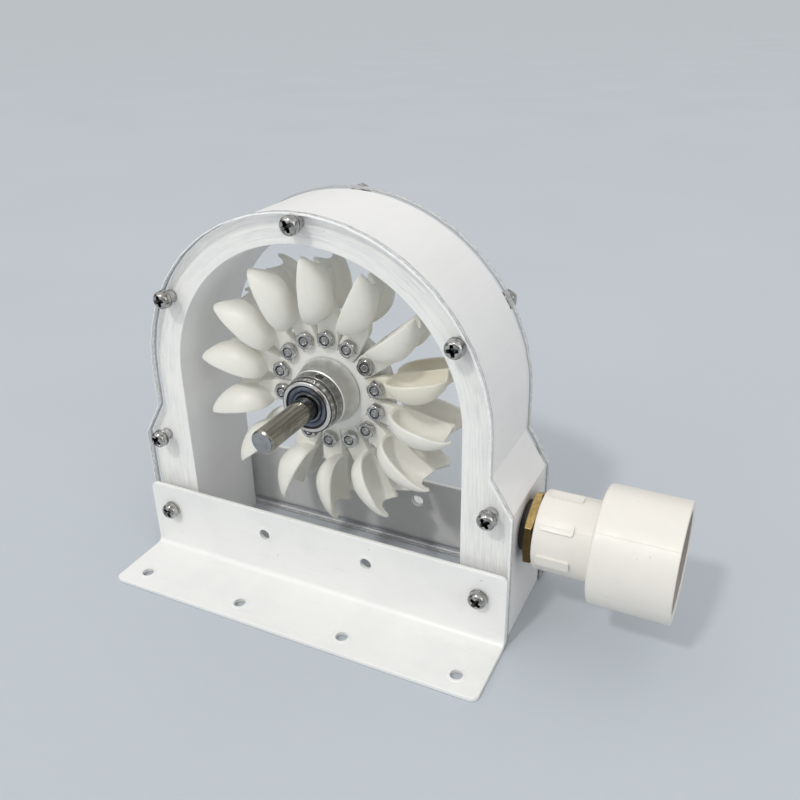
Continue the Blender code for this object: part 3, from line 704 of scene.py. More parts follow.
def bracket_section():
    """The bend as (y, z) for a foot that points to the front, the leg's inner face at y = 0."""
    foot_end = -BRACKET_REACH
    centre = (-BEND_RADIUS, FLOOR_Z + BEND_RADIUS)
    points = [(0, BRACKET_TOP)] + arc(centre, BEND_RADIUS, 0, -90, 10)
    points += [(foot_end, FLOOR_Z), (foot_end, FLOOR_Z + BRACKET_THICKNESS)]
    points += arc(centre, BEND_RADIUS - BRACKET_THICKNESS, -90, 0, 10)
    return points + [(-BRACKET_THICKNESS, BRACKET_TOP)]


def round_bracket_corners(bm):
    """Rounds the two top corners of the leg and the two of the foot."""
    near = 0.05 * MM
    edges = []
    for edge in bm.edges:
        ends = [vert.co for vert in edge.verts]
        at_end = min(abs(end.x) for end in ends) > BRACKET_HALF_LENGTH - near
        on_top = min(end.z for end in ends) > BRACKET_TOP - near
        on_foot = max(end.y for end in ends) < -BRACKET_REACH + near
        if at_end and (on_top or on_foot) and edge.calc_length() < 2 * BRACKET_THICKNESS:
            edges.append(edge)
    bmesh.ops.bevel(bm, geom=edges, offset=BRACKET_CORNER, segments=6, profile=0.5,
                    affect="EDGES")


def make_bracket(name, node, turned, materials):
    """Made as the front bracket and turned about for the back one."""
    bm = made(prism, bracket_section(), -BRACKET_HALF_LENGTH, BRACKET_HALF_LENGTH, FACING_SIDE)
    round_bracket_corners(bm)
    bracket = solid(name, bm)
    screw_x = screw_places()["bracket_right"][0]
    holes = [(at(x, FOOT_HOLE_Y, FLOOR_Z), HOLE_RADIUS) for x in FOOT_HOLE_X]
    holes += [(at(x, 0, LEG_HOLE_Z) @ ALONG_Y, HOLE_RADIUS) for x in LEG_HOLE_X]
    holes += [(at(x, 0, LEG_HOLE_Z) @ ALONG_Y, SCREW_HOLE_RADIUS) for x in (-screw_x, screw_x)]
    cutters = bmesh.new()
    for place, radius in holes:
        prism(cutters, circle((0, 0), radius, 32), -5 * MM, 5 * MM, place)
    combine(bracket, cutters, "DIFFERENCE")
    soften(bracket, BRACKET_EDGE, 3)
    place = at(0, high(node).y, 0)
    if turned:
        place = at(0, low(node).y, 0) @ Matrix.Rotation(math.pi, 4, "Z")
    bracket.data.transform(place)
    dress(bracket, "housing", [node], "white_paint", materials)
    collar = rounded([(HOLE_RADIUS - 0.25 * MM, 0, 0),
                      (HOLE_RADIUS - 0.25 * MM, 0.28 * MM, 0.2 * MM),
                      (HOLE_RADIUS + 0.55 * MM, 0.16 * MM, 0.3 * MM),
                      (HOLE_RADIUS + 0.9 * MM, -0.05 * MM, 0)], 4)
    bases = [at(x, FOOT_HOLE_Y, FLOOR_Z + BRACKET_THICKNESS) for x in FOOT_HOLE_X]
    bases += [at(x, -BRACKET_THICKNESS, LEG_HOLE_Z) @ FACING_FRONT for x in LEG_HOLE_X]
    rings = bmesh.new()
    for base in bases:
        lathe(rings, collar, 36, place @ base, closed=True)
    dress_new(name + "_hole_collars", rings, "housing", [], "white_paint", materials)


def pan_head():
    """A pan head with a cross recess, its seat at z = 0 and its top at z = HEAD_HEIGHT."""
    top = HEAD_HEIGHT
    profile = [(0, 0, 0), (HEAD_RADIUS, 0, 0.12 * MM), (HEAD_RADIUS, 0.62 * top, 1.1 * MM),
               (2.2 * MM, top - 0.06 * MM, 1.2 * MM), (0, top, 0)]
    head = solid("pan_head", made(lathe, rounded(profile, 6), 48, Matrix()))
    cross = bmesh.new()
    rings = []
    for z, reach, half in ((top - CROSS_DEPTH, 1.0 * MM, 0.3 * MM),
                           (top + 0.5 * MM, 2.3 * MM, 0.62 * MM)):
        outline = []
        for quarter in range(4):
            turn = Matrix.Rotation(math.pi / 2 * quarter, 2)
            outline += [turn @ Vector(corner) for corner in
                        ((reach, -half), (reach, half), (half * 1.35, half * 1.35))]
        rings.append([cross.verts.new((x, y, z)) for x, y in outline])
    close_ends(cross, *rings)
    combine(head, cross, "DIFFERENCE")
    soften(head, 0.07 * MM, 2, 40)
    # The recess's faces take the second material, near-black as painted shade
    for face in head.data.polygons:
        low_enough = 0.3 * MM < face.center.z < top - 0.25 * MM
        face.material_index = 1 if low_enough and face.center.xy.length < 1.9 * MM else 0
    return taken(head)


def threaded(start, end, radius, pitch=THREAD_PITCH):
    """The zigzag side of a threaded rod, from start to end."""
    count = max(1, int(round((end - start) / pitch)))
    step = (end - start) / count
    root = radius - THREAD_DEPTH
    points = []
    for i in range(count):
        z = start + (end - start) * i / count
        points += [(root, z), (radius, z + 0.4 * step), (radius, z + 0.6 * step)]
    return points + [(root, end)]


def nut_mesh(flats, height, bore):
    """A hexagon nut with turned chamfers, its seat at z = 0."""
    wide = flats / math.sqrt(3) + 0.05 * MM
    face = flats * 0.485
    drop = 0.16 * flats * 0.6
    profile = [(0, -0.01 * MM), (face, -0.01 * MM), (wide, drop), (wide, height - drop),
               (face, height), (0, height)]
    nut = solid("nut", made(prism, hexagon(flats), 0, height, Matrix()))
    combine(nut, made(lathe, profile, 48, Matrix()), "INTERSECT")
    hole = made(prism, circle((0, 0), bore, 32), -MM, height + MM, Matrix())
    combine(nut, hole, "DIFFERENCE")
    soften(nut, 0.06 * MM, 2, 25)
    return taken(nut)


def copy_into(bm, mesh, matrix):
    """Adds a mesh to another at a place."""
    part = bmesh.new()
    part.from_mesh(mesh)
    bmesh.ops.transform(part, matrix=matrix, verts=part.verts)
    placed = mesh_from("placed", part)
    bm.from_mesh(placed)
    bpy.data.meshes.remove(placed)


def add_washer(bm, radius, thickness, matrix):
    bore = SHANK_RADIUS + 0.1 * MM
    corners = [(bore, 0, 0), (radius, 0, 0.12 * MM), (radius, thickness, 0.12 * MM),
               (bore, thickness, 0)]
    lathe(bm, rounded(corners, 2), 48, matrix, closed=True)


def make_screws(steel, dark):
    """Each screw stands on a flat and a spring washer, and its nut on a flat washer."""
    head = pan_head()
    nut = nut_mesh(NUT_FLATS, NUT_HEIGHT, NUT_BORE)
    raised = WASHER_THICKNESS + SPRING_THICKNESS
    for side, (x, z) in screw_places().items():
        turn = math.radians(SCREW_TURNS[side])
        seat = low("screw_" + side).y + HEAD_HEIGHT
        nut_seat = low("nut_" + side).y
        end = nut_seat + NUT_HEIGHT + WASHER_THICKNESS + SCREW_TAIL - seat
        thread_end = end - 0.3 * MM
        forward = at(x, seat, z) @ FACING_FRONT
        bm = bmesh.new()
        add_washer(bm, WASHER_RADIUS, WASHER_THICKNESS, forward)
        add_washer(bm, SPRING_RADIUS, SPRING_THICKNESS, forward @ at(0, 0, WASHER_THICKNESS))
        copy_into(bm, head, forward @ at(0, 0, raised) @ Matrix.Rotation(turn, 4, "Z"))
        shank = [(0, -raised), (SHANK_RADIUS, -raised)]
        shank += threaded(thread_end - THREAD_LENGTH, thread_end, SHANK_RADIUS)
        shank += [(SHANK_RADIUS - 0.35 * MM, end), (0, end)]
        lathe(bm, shank, 24, at(x, seat, z) @ ALONG_Y)
        # The screws' second material is the recess's painted shade
        dress_new("clamp_screw_" + side, bm, "housing", ["screw_" + side], "stainless",
                  [steel, dark])
        twist = Matrix.Rotation(-math.atan2(z, x) - 0.2 * turn, 4, "Z")
        backward = at(x, nut_seat, z) @ ALONG_Y
        bm = bmesh.new()
        add_washer(bm, WASHER_RADIUS, WASHER_THICKNESS, backward)
        copy_into(bm, nut, backward @ at(0, 0, WASHER_THICKNESS) @ twist)
        dress_new("clamp_nut_" + side, bm, "housing", ["nut_" + side], "stainless", [steel])


def make_bearing(name, node, materials):
    """Outer race, groove, pressed shield, groove and inner race, alike on both faces; the grooves
    and the bore's edges are painted dark as shade.
    """
    half = BEARING_WIDTH / 2
    out, bore = BEARING_RADIUS - 0.2 * MM, SHAFT_RADIUS + 0.12 * MM
    rows = [(out, 0, RACE), (out, half - 0.55 * MM, RACE), (out - 0.12 * MM, half - 0.5 * MM, GAP_SHADE)]
    rows += [(radius * MM, half - depth * MM, slot) for radius, depth, slot in BEARING_FACE]
    rows += [(bore + 0.45 * MM, half, SHIELD), (bore + 0.1 * MM, half - 0.3 * MM, GAP_SHADE),
             (bore, half - 0.5 * MM, GAP_SHADE), (bore, 0, GAP_SHADE)]
    profile = [(r, h) for r, h, _ in rows] + [(r, -h) for r, h, _ in reversed(rows[1:-1])]
    marks = [slot for _, _, slot in rows]
    there = [GAP_SHADE if GAP_SHADE in pair else pair[0] for pair in zip(marks, marks[1:])]
    place = at(0, low(node).y + half, 0) @ ALONG_Y
    bm = made(lathe, profile, 96, place, closed=True, slots=there + there[::-1])
    dress_new(name, bm, "housing", [node], "bearing_steel", materials)


# Runner

def make_shaft(materials):
    chamfer = 0.6 * MM
    outline = [(0, SHAFT_FRONT, 0), (SHAFT_RADIUS - chamfer, SHAFT_FRONT, 0.08 * MM),
               (SHAFT_RADIUS, SHAFT_FRONT + chamfer, 0.15 * MM),
               (SHAFT_RADIUS, SHAFT_BACK - chamfer, 0.15 * MM),
               (SHAFT_RADIUS - chamfer, SHAFT_BACK, 0.08 * MM), (0, SHAFT_BACK, 0)]
    bm = made(lathe, rounded(outline, 3), 64, ALONG_Y)
    shaft = dress_new("drive_shaft", bm, "runner", ["shaft"], "shaft_steel", materials)
    for face in shaft.data.polygons:
        face.material_index = 1 if face.center.y < SHAFT_FRONT + 0.05 * MM else 0


def make_hub(materials, set_screw_shade):
    """Satin, with a polished front part, a groove at its back end painted dark as shade, and a set
    screw painted near-black as the shade in its hole.
    """
    bore = SHAFT_RADIUS + 0.05 * MM
    groove_radius, groove_start = HUB_RADIUS - HUB_GROOVE, DISC_FRONT - 0.75 * MM
    outline = [(groove_radius, HUB_BACK, 0), (groove_radius, groove_start + 0.05 * MM, 0),
               (HUB_RADIUS, groove_start, 0.05 * MM),
               (HUB_STEP_RADIUS, HUB_STEP + 0.3 * MM, 0.2 * MM),
               (HUB_NECK_RADIUS + 0.15 * MM, HUB_STEP, 0.1 * MM),
               (HUB_NECK_RADIUS, HUB_STEP, 0.03 * MM), (HUB_NECK_RADIUS, HUB_FRONT, 0.25 * MM),
               (bore, HUB_FRONT, 0.15 * MM), (bore, HUB_BACK, 0.1 * MM)]
    hub = solid("shaft_hub", made(lathe, rounded(outline, 3), 96, ALONG_Y, closed=True))
    outwards = at(0, SET_SCREW_Y, 0) @ Matrix.Rotation(math.pi / 2 - SET_SCREW_ANGLE, 4, "Y")
    hole = circle((0, 0), SET_SCREW_RADIUS + 0.05 * MM, 32)
    combine(hub, made(prism, hole, 5 * MM, 12 * MM, outwards), "DIFFERENCE")
    soften(hub, 0.12 * MM, 2, 50)
    # The back groove takes the dark material: painted shade where the hub meets the disc
    for face in hub.data.polygons:
        y, radius = face.center.y, face.center.xz.length
        in_groove = y > groove_start + 0.01 * MM and radius < HUB_RADIUS - 0.1 * MM
        face.material_index = 2 if in_groove else 1 if y < HUB_STEP + 0.05 * MM else 0
    dress(hub, "runner", ["hub"], "hub_aluminium", materials)
    end, depth = 8.6 * MM, 7.6 * MM
    screw = [(0, 5.2 * MM, 0), (SET_SCREW_RADIUS, 5.2 * MM, 0), (SET_SCREW_RADIUS, end, 0.2 * MM),
             (0.9 * MM, end, 0.05 * MM), (0.8 * MM, depth, 0), (0, depth, 0)]
    # The set screw is near-black: painted shade for its hole
    bm = made(lathe, rounded(screw, 3), 32, outwards)
    dress_new("hub_set_screw", bm, "runner", [], "stainless", [set_screw_shade])


def make_disc(material):
    bore = SHAFT_RADIUS + 0.05 * MM
    boss = DISC_FRONT - DISC_BOSS_LIFT
    outline = [(FLANGE_RADIUS, DISC_BACK, 0.5 * MM), (FLANGE_RADIUS, FLANGE_FRONT, 0.5 * MM),
               (DISC_BOSS_RADIUS, FLANGE_FRONT, 0.2 * MM), (DISC_BOSS_RADIUS, boss, 0.2 * MM),
               (bore, boss, 0.1 * MM), (bore, DISC_BACK, 0.2 * MM)]
    bm = made(lathe, rounded(outline, 4), 128, ALONG_Y, closed=True)
    dress_new("bucket_disc", bm, "runner", ["runner_disc"], "disc_resin", [material])


def bucket_angle(index):
    return FIRST_BUCKET + math.tau * index / BUCKET_COUNT


def make_runner_bolts(steel, dark, bolt_steel):
    """Small nuts on the front of the stems, the bolt ends in them, and the heads behind."""
    nut = nut_mesh(RUNNER_NUT_FLATS, RUNNER_NUT_HEIGHT, RUNNER_NUT_BORE)
    head = pan_head()
    tip = 1.45 * MM
    end = rounded([(0, 0, 0), (tip, 0, 0), (tip, 2.2 * MM, 0.1 * MM),
                   (1.15 * MM, 2.6 * MM, 0.1 * MM), (0.8 * MM, 2.35 * MM, 0.1 * MM),
                   (0, 2.35 * MM, 0)], 3)
    nuts, bolts, heads = bmesh.new(), bmesh.new(), bmesh.new()
    for i in range(BUCKET_COUNT):
        a = bucket_angle(i)
        x, z = BOLT_CIRCLE * math.cos(a), BOLT_CIRCLE * math.sin(a)
        twist = Matrix.Rotation(1.7 * i * i + a, 4, "Z")
        front = at(x, DISC_FRONT - 0.05 * MM, z) @ FACING_FRONT @ twist
        copy_into(nuts, nut, front)
        lathe(bolts, end, 24, front)
        copy_into(heads, head, at(x, DISC_BACK, z) @ ALONG_Y @ twist)
    for name, bm, looks in (("runner_nuts", nuts, [steel]),
                            ("runner_bolt_ends", bolts, [bolt_steel]),
                            # The bolt heads' second material is the recess's painted shade
                            ("runner_bolt_heads", heads, [steel, dark])):
        dress_new(name, bm, "runner", [], "stainless", looks)


def cup_form(side, inset, lift):
    """One cup as a bowl whose open face is up, pointed outwards and square to the splitter."""
    size = {key: value - inset for key, value in CUP_OUTER.items()}
    if inset:
        size["mid"] = CUP_CENTRE_V - SPLITTER_HALF
    bm = bmesh.new()
    bmesh.ops.create_uvsphere(bm, u_segments=72, v_segments=40, radius=1)
    if not inset:
        bmesh.ops.bisect_plane(bm, geom=bm.verts[:] + bm.edges[:] + bm.faces[:],
                               plane_co=(0, 0, 1e-4), plane_no=(0, 0, 1), clear_outer=True)
        rim = [edge for edge in bm.edges if edge.is_boundary]
        bmesh.ops.contextual_create(bm, geom=rim)
    for vert in bm.verts:
        u, v, w = vert.co
        reach = math.hypot(u, v)
        inner = v * side < 0
        outwards = max(0.0, u / reach) if reach > 1e-6 else 0.0
        bend = 2 - 0.45 * outwards
        w = math.copysign(max(0.0, 1 - min(1.0, reach) ** bend) ** (1 / bend), w)
        power = 4 if inner else (CUP_POINT if u > 0 else 2)
        if reach > 1e-6:
            stretch = reach / (abs(u) ** power + abs(v) ** power) ** (1 / power)
            u = u * stretch
            v = v * stretch
        lean = CUP_SKEW * max(0.0, u) ** 2
        along = size["out"] if u > 0 else size["in"]
        across = size["mid"] + lean if inner else size["side"]
        vert.co = (CUP_CENTRE_U + u * along, side * (CUP_CENTRE_V + lean) + v * across,
                   CUP_FACE_W + lift + CUP_RISE * max(0.0, u) ** 2 + w * size["deep"])
    return bm


def notch_outline():
    """A bite from the splitter's tip to each horn, open outwards."""
    steps = 12
    bite = []
    for i in range(1, steps + 1):
        share = i / steps
        u = NOTCH_U + (HORN_U - NOTCH_U) * share - 4 * NOTCH_DEPTH * share * (1 - share)
        bite.append((u, HORN_V * share))
    far = [(HORN_U + 20 * MM, -HORN_V), (HORN_U + 20 * MM, HORN_V)]
    left = [(u, -v) for u, v in reversed(bite)]
    return [far[0]] + left + [(NOTCH_U, 0)] + bite + [far[1]]


def stem_outline():
    """The wedge clamped to the disc, and the rib that runs out under the cups."""
    slope = math.tan(math.pi / BUCKET_COUNT)
    gap = 0.3 * MM
    root_half = STEM_ROOT * slope - gap / 2
    rise = STEM_TOP / slope
    top = STEM_TOP - gap / 2
    return [(STEM_ROOT, -root_half), (rise, -top), (27 * MM, -top), (34 * MM, -0.8 * MM),
            (34 * MM, 2.2 * MM), (27 * MM, top), (rise, top), (STEM_ROOT, root_half)]


def bucket_mesh():
    """One bucket: booleans of smooth forms, then a fine remesh that rounds every edge."""
    bucket = solid("bucket_form", cup_form(-1, 0, 0))
    start, low_w = CUP_CENTRE_U - 9.6 * MM, CUP_FACE_W - SPINE_DEPTH
    side_view = [(start, CUP_FACE_W), (start, low_w), (NOTCH_U - 3.2 * MM, low_w),
                 (NOTCH_U - 0.3 * MM, CUP_FACE_W), (NOTCH_U, CUP_FACE_W + 0.95 * MM),
                 (start + 4 * MM, CUP_FACE_W + 0.02 * MM)]
    spine = made(prism, side_view, -SPINE_HALF, SPINE_HALF, FACING_FRONT)
    stem_w = RUNNER_MID - DISC_FRONT
    stem = made(prism, stem_outline(), stem_w - STEM_THICKNESS, stem_w, FACING_FRONT)
    for bm in (cup_form(1, 0, 0.01 * MM), spine, stem):
        combine(bucket, bm, "UNION")
    notch = made(prism, notch_outline(), -20 * MM, 20 * MM, Matrix())
    for bm in (cup_form(-1, CUP_WALL, 0.15 * MM), cup_form(1, CUP_WALL, 0.15 * MM), notch):
        combine(bucket, bm, "DIFFERENCE")
    remesh = bucket.modifiers.new("remesh", "REMESH")
    remesh.mode = "VOXEL"
    remesh.voxel_size = 0.28 * MM
    smooth = bucket.modifiers.new("smooth", "SMOOTH")
    smooth.factor = 0.5
    smooth.iterations = 5
    apply_modifiers(bucket)
    thin = bucket.modifiers.new("thin", "DECIMATE")
    thin.ratio = min(1.0, BUCKET_TRIANGLES / max(1, 2 * len(bucket.data.polygons)))
    apply_modifiers(bucket)
    mesh = taken(bucket)
    mesh.name = "bucket"
    return mesh


def make_buckets(looks, odd_look):
    mesh = bucket_mesh()
    mesh.shade_smooth()
    mesh.materials.append(looks[0])
    for i in range(BUCKET_COUNT):
        turn = at(0, RUNNER_MID, 0) @ Matrix.Rotation(-bucket_angle(i), 4, "Y")
        bucket = new_object("twin_cup_%02d" % (i + 1), mesh, turn)
        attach(bucket, "runner")
        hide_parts("bucket_%02d" % (i + 1))
        bucket.material_slots[0].link = "OBJECT"
        bucket.material_slots[0].material = odd_look if i == 1 else looks[i % len(looks)]


# Inlet

def make_fitting(materials):
    """A hexagon on a threaded pipe that ends in the jet, and a near-black ring at the wall,
    painted shade for the contact shadow between hexagon and wall.
    """
    centre = at(0, INLET_Y, INLET_Z) @ ALONG_X
    wide = HEX_FLATS / math.sqrt(3) + 0.1 * MM
    flat = HEX_FLATS * 0.49
    drop = 0.35 * MM
    profile = [(0, HEX_START), (flat, HEX_START), (wide, HEX_START + drop),
               (wide, HEX_END - drop), (flat, HEX_END), (0, HEX_END)]
    blank = solid("hexagon", made(prism, hexagon(HEX_FLATS), HEX_START, HEX_END, Matrix()))
    combine(blank, made(lathe, profile, 64, Matrix()), "INTERSECT")
    soften(blank, 0.2 * MM, 2, 25)
    bm = bmesh.new()
    copy_into(bm, taken(blank), centre)
    outer, end = NIPPLE_RADIUS, HEX_END + NIPPLE_THREAD
    thread = threaded(HEX_END - 0.3 * MM, end - 0.4 * MM, outer, 1.3 * MM)
    pipe = [(NIPPLE_BORE, end), (outer - 0.3 * MM, end)] + thread[::-1]
    pipe += [(outer, HEX_START + 0.3 * MM), (outer, NIPPLE_START + 0.6 * MM),
             (outer - 0.6 * MM, NIPPLE_START), (JET_RADIUS, NIPPLE_START),
             (JET_RADIUS, NIPPLE_START + 7 * MM), (NIPPLE_BORE, 67 * MM)]
    lathe(bm, pipe, 64, centre, closed=True)
    wall, seat, hole = FOOT_HALF_WIDTH - RING_INSET, HEX_START + 0.05 * MM, outer - 0.2 * MM
    # Painted shade: a near-black ring showing round the hexagon at the wall
    shadow_ring = rounded([(hole, wall, 0), (SHADOW_RING_RADIUS, wall, 0.3 * MM),
                      (SHADOW_RING_RADIUS, seat, 0.5 * MM), (hole, seat, 0)], 3)
    lathe(bm, shadow_ring, 64, centre, closed=True, slots=[1] * len(shadow_ring))
    dress_new("hexagon_fitting", bm, "housing", ["nozzle_fitting"], "brass", materials)


def bar(start, end, width, corner, bottom, top, turn):
    """A bar along the adapter's side, from one distance from its axis to another."""
    half = width / 2
    outline = [(start, -half, corner), (end, -half, corner), (end, half, corner),
               (start, half, corner)]
    return made(prism, rounded(outline), bottom, top, Matrix.Rotation(turn, 4, "X"))


def make_adapter(materials):
    """A neck with raised ribs, a rounded shoulder, an open socket and the mould's seam."""
    bore = NIPPLE_RADIUS + 0.3 * MM
    outline = [
        (SOCKET_RADIUS, SOCKET_END, 0.25 * MM),
        (SOCKET_RADIUS, SHOULDER, 0.9 * MM),
        (ADAPTER_RADIUS, SHOULDER - 0.5 * MM, 0.7 * MM),
        (ADAPTER_RADIUS, ADAPTER_START, 0.5 * MM),
        (bore, ADAPTER_START, 0.4 * MM),
        (bore, SOCKET_START, 0.3 * MM),
        (SOCKET_BORE, SOCKET_START, 0.5 * MM),
        (SOCKET_BORE, SOCKET_END - 0.4 * MM, 0.1 * MM),
        (SOCKET_BORE + 0.4 * MM, SOCKET_END, 0.15 * MM),
    ]
    adapter = solid("socket_adapter", made(lathe, rounded(outline, 5), 128, ALONG_X, closed=True))
    rib_end, rib_top = RIB_START + RIB_LENGTH, ADAPTER_RADIUS + RIB_HEIGHT
    for half in (0, math.pi):
        for step in (-RIB_STEP, 0, RIB_STEP):
            rib = bar(RIB_START, rib_end, RIB_WIDTH, 0.8 * MM, ADAPTER_RADIUS - 2 * SUNK, rib_top,
                      RIB_TURN + half + step)
            combine(adapter, rib, "UNION")
    for start, end, radius, turn in (
            (SHOULDER + 0.8 * MM, SOCKET_END - 0.8 * MM, SOCKET_RADIUS, SEAM_TURN),
            (RIB_START + 0.4 * MM, rib_end - 0.4 * MM, rib_top, RIB_TURN),
            (rib_end, SHOULDER - 0.4 * MM, ADAPTER_RADIUS, RIB_TURN)):
        seam = bar(start, end, SEAM_WIDTH, 0, radius - SUNK, radius + SEAM_HEIGHT, turn)
        combine(adapter, seam, "UNION")
    soften(adapter, 0.12 * MM, 2, 40)
    # The socket's bore takes the darker material, painted shade where little light enters
    for face in adapter.data.polygons:
        deep = face.center.yz.length < SOCKET_BORE + 0.1 * MM
        face.material_index = 1 if deep and face.center.x > SOCKET_START else 0
    adapter.data.transform(at(0, INLET_Y, INLET_Z))
    dress(adapter, "housing", ["pipe_adapter"], "white_pipe", materials)


# Floor, light and camera

SKY = ((0.0, 0.17), (0.3, 0.34), (0.55, 0.95), (1.0, 1.0))  # height and grey
SKY_STRENGTH = 0.9
SUN_STRENGTH = 0.86
SUN_DIRECTION = (0.2207, 0.8509, -1)
RIGHT_POWER = 10.0
FRONT_POWER = 9.0
PANEL_COLOUR = (0.97, 0.98, 1.0)
FLOOR_HALF_SIZE = 100.0

# The photograph's camera, in degrees, and in millimetres from the shaft axis
CAMERA_AZIMUTH = 26.07
CAMERA_ELEVATION = 26.42
CAMERA_ROLL = -1.028
CAMERA_LENS = 37.53
CAMERA_PLACE = (133.5, -203.6, 122.2)


def make_floor():
    look = Look("floor_paint")
    tone = look.ramp(look.noise(6, 3), 0.3, 0.7)
    colour = look.mix(tone, (0.50, 0.54, 0.58), (0.51, 0.55, 0.59))
    look.use(Base_Color=colour, Roughness=look.ramp(tone, 0, 1, 0.55, 0.65))
    bm = bmesh.new()
    bmesh.ops.create_grid(bm, x_segments=1, y_segments=1, size=FLOOR_HALF_SIZE)
    floor = bpy.data.objects.new("floor", mesh_from("floor", bm))
    floor.location = (0, 0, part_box("housing_ring")[0].z - 0.05 * MM)
    bpy.context.scene.collection.objects.link(floor)
    floor.data.materials.append(look.material)


def add_light(light, place, direction):
    lamp = bpy.data.objects.new(light.name, light)
    lamp.location = place
    lamp.rotation_euler = direction.to_track_quat("-Z", "Y").to_euler()
    bpy.context.scene.collection.objects.link(lamp)


def add_panel(name, place, size, power):
    light = bpy.data.lights.new(name, "AREA")
    light.shape = "RECTANGLE"
    light.size = light.size_y = size
    light.energy = power
    light.color = PANEL_COLOUR
    add_light(light, place, Vector((0, 0, 0.06)) - Vector(place))


def make_light():
    """A soft sky that darkens towards the horizon, one soft sun and two large panels."""
    world = bpy.data.worlds.new("studio")
    world.use_nodes = True
    bpy.context.scene.world = world
    tree = world.node_tree
    back = tree.nodes["Background"]
    place = tree.nodes.new("ShaderNodeTexCoord")
    axes = tree.nodes.new("ShaderNodeSeparateXYZ")
    ramp = tree.nodes.new("ShaderNodeValToRGB")
    tree.links.new(place.outputs["Generated"], axes.inputs[0])
    tree.links.new(axes.outputs["Z"], ramp.inputs[0])
    tree.links.new(ramp.outputs[0], back.inputs["Color"])
    stops = ramp.color_ramp.elements
    for height, _ in SKY[1:-1]:
        stops.new(height)
    for stop, (height, grey) in zip(stops, SKY):
        stop.position = height
        stop.color = (grey, grey, grey, 1)
    back.inputs["Strength"].default_value = SKY_STRENGTH
    sun = bpy.data.lights.new("sun", "SUN")
    sun.energy = SUN_STRENGTH
    sun.angle = math.radians(5)
    sun.color = (1.0, 0.99, 0.97)
    add_light(sun, (0, 0, 0), Vector(SUN_DIRECTION))
    add_panel("right_panel", (2.2, -0.9, 1.0), 1.6, RIGHT_POWER)
    add_panel("front_panel", (-1.3, -2.0, 0.9), 1.4, FRONT_POWER)


def make_camera():
    azimuth, elevation = math.radians(CAMERA_AZIMUTH), math.radians(CAMERA_ELEVATION)
    roll = math.radians(CAMERA_ROLL)
    forward = Vector((-math.sin(azimuth) * math.cos(elevation),
                      math.cos(azimuth) * math.cos(elevation), -math.sin(elevation)))
    across = Vector((math.cos(azimuth), math.sin(azimuth), 0))
    up = across.cross(forward)
    right = math.cos(roll) * across + math.sin(roll) * up
    top = -math.sin(roll) * across + math.cos(roll) * up
    turn = Matrix((right, top, -forward)).transposed().to_4x4()
    lens = bpy.data.cameras.new("camera")
    lens.lens = CAMERA_LENS
    lens.sensor_width = 36.0
    lens.clip_start, lens.clip_end = 0.01, 500
    camera = bpy.data.objects.new("camera", lens)
    camera.matrix_world = at(*(AXIS + Vector(CAMERA_PLACE) * MM)) @ turn
    bpy.context.scene.collection.objects.link(camera)
    bpy.context.scene.camera = camera


make_camera()
make_floor()
make_light()
bpy.context.scene.view_settings.view_transform = "Standard"

# Screw steel: its strong light and dark mottling is partly tool marks, partly a painted reflection
steel = metal("screw_steel", (0.62, 0.61, 0.59), (0.22, 0.215, 0.21), 0.07, scale=600,
              grain=0.004 * MM)
# Painted shade: near-black steel for the cross recesses and the hub's set screw
recess = metal("recess_shade_steel", (0.14, 0.14, 0.14), (0.02, 0.02, 0.02), 0.2, scale=900)
bolt_steel = metal("bolt_steel", (0.42, 0.41, 0.40), (0.22, 0.22, 0.21), 0.25, scale=700)
# Painted shade for the bearings' grooves, the hub's back groove and the ring at the fitting
gap = painted_gap_shade()
printed = white_plastic("printed_side", (0.86, 0.855, 0.845), (0.815, 0.81, 0.80),
                        (0.35, 0.33, 0.30), 0.5, streak=(2.0, 0.15, 2.0))
front_print = printed_face((0.90, 0.90, 0.875), (0.955, 0.94, 0.89), (0.76, 0.76, 0.75))
pipe_white = white_plastic("white_pipe", (0.82, 0.79, 0.725), (0.78, 0.75, 0.69),
                           (0.40, 0.36, 0.30), 0.42)
# Painted shade: a darker white for the socket's bore, where little light reaches
pipe_inside_shade = white_plastic("pipe_inside_shade", (0.50, 0.455, 0.42), (0.44, 0.40, 0.37),
                            (0.30, 0.27, 0.24), 0.5)
disc_white = white_plastic("disc_resin", (0.85, 0.84, 0.80), (0.78, 0.77, 0.73),
                           (0.35, 0.32, 0.28), 0.45)
paint = painted_sheet()
clear = [acrylic_face(),
         acrylic_edge("acrylic_edge", (0.80, 0.81, 0.80), (0.42, 0.43, 0.44), 0.5, 0.8),
         # Near-white corner: frosted acrylic, and partly a painted highlight along the cover's edge
         acrylic_edge("acrylic_corner_highlight", (0.97, 0.975, 0.975), (0.84, 0.85, 0.85), 0.85, 1.0)]
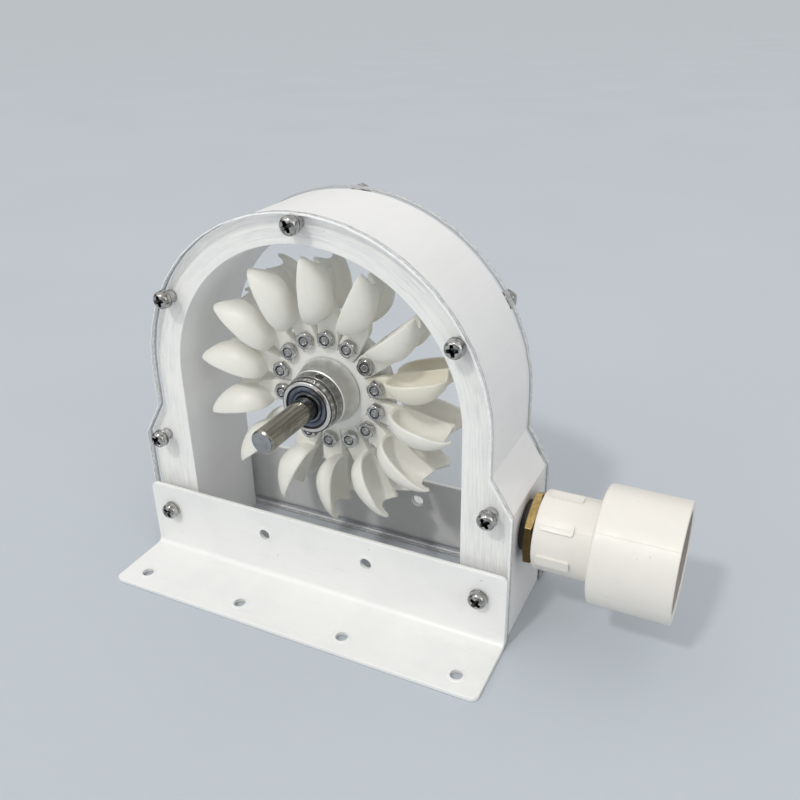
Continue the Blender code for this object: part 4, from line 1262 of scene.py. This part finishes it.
# Brass, with the hexagon's lower facets painted dark as shade below their middle corner
brass = metal("brass", (0.66, 0.48, 0.21), (0.36, 0.25, 0.095), 0.3, scale=1200,
              grain=0.03 * MM, stain=(0.28, 0.19, 0.08),
              shade_below=INLET_Z + HEX_FLATS / math.sqrt(3) / 2)
shaft_steel = metal("shaft_steel", (0.48, 0.45, 0.39), (0.14, 0.13, 0.11), 0.2,
                    streak=(1, 0.015, 1), scale=1900, grain=0.02 * MM)
# The cut end's darker, cooler grey is partly a painted reflection of the floor
shaft_end = metal("shaft_end", (0.42, 0.43, 0.44), (0.30, 0.31, 0.32), 0.38, scale=500)
hub_satin = metal("hub_satin", (0.82, 0.82, 0.79), (0.72, 0.72, 0.69), 0.42,
                  streak=(0.04, 1, 0.04), scale=1600, grain=0.004 * MM,
                  stain=(0.66, 0.66, 0.63), turned=0.5)
# The neck's polish is real; its dark colour is a painted reflection of dark surroundings
hub_bright = metal("hub_polished", (0.36, 0.355, 0.33), (0.30, 0.295, 0.28), 0.2,
                   streak=(0.03, 1, 0.03), scale=1500, grain=0.002 * MM,
                   stain=(0.28, 0.275, 0.26), turned=0.8)
race = metal("bearing_race", (0.76, 0.745, 0.72), (0.58, 0.56, 0.53), 0.1,
             streak=(0.03, 1, 0.03), scale=1500, grain=0.002 * MM, stain=(0.50, 0.48, 0.45))
shield = metal("bearing_shield", (0.20, 0.22, 0.26), (0.09, 0.10, 0.125), 0.22, scale=400,
               grain=0.004 * MM)
creams = [resin("resin_%d" % n, (0.87, 0.855, 0.785), (0.82, 0.805, 0.73), (0.83, 0.79, 0.70),
                1.7 * n) for n in range(4)]
yellowed = resin("resin_yellowed", (0.85, 0.815, 0.69), (0.81, 0.765, 0.63), (0.78, 0.72, 0.565),
                 9.1)

make_ring([printed, front_print])
make_cover("clear_cover_front", "front_cover", clear)
make_cover("clear_cover_back", "back_cover", clear)
make_bracket("foot_bracket_front", "front_bracket", False, [paint])
make_bracket("foot_bracket_back", "back_bracket", True, [paint])
make_screws(steel, recess)
make_bearing("ball_bearing_front", "front_bearing", [race, gap, shield])
make_bearing("ball_bearing_back", "back_bearing", [race, gap, shield])
make_fitting([brass, gap])
make_adapter([pipe_white, pipe_inside_shade])
make_shaft([shaft_steel, shaft_end])
make_hub([hub_satin, hub_bright, gap], recess)
make_disc(disc_white)
make_runner_bolts(steel, recess, bolt_steel)
make_buckets(creams, yellowed)
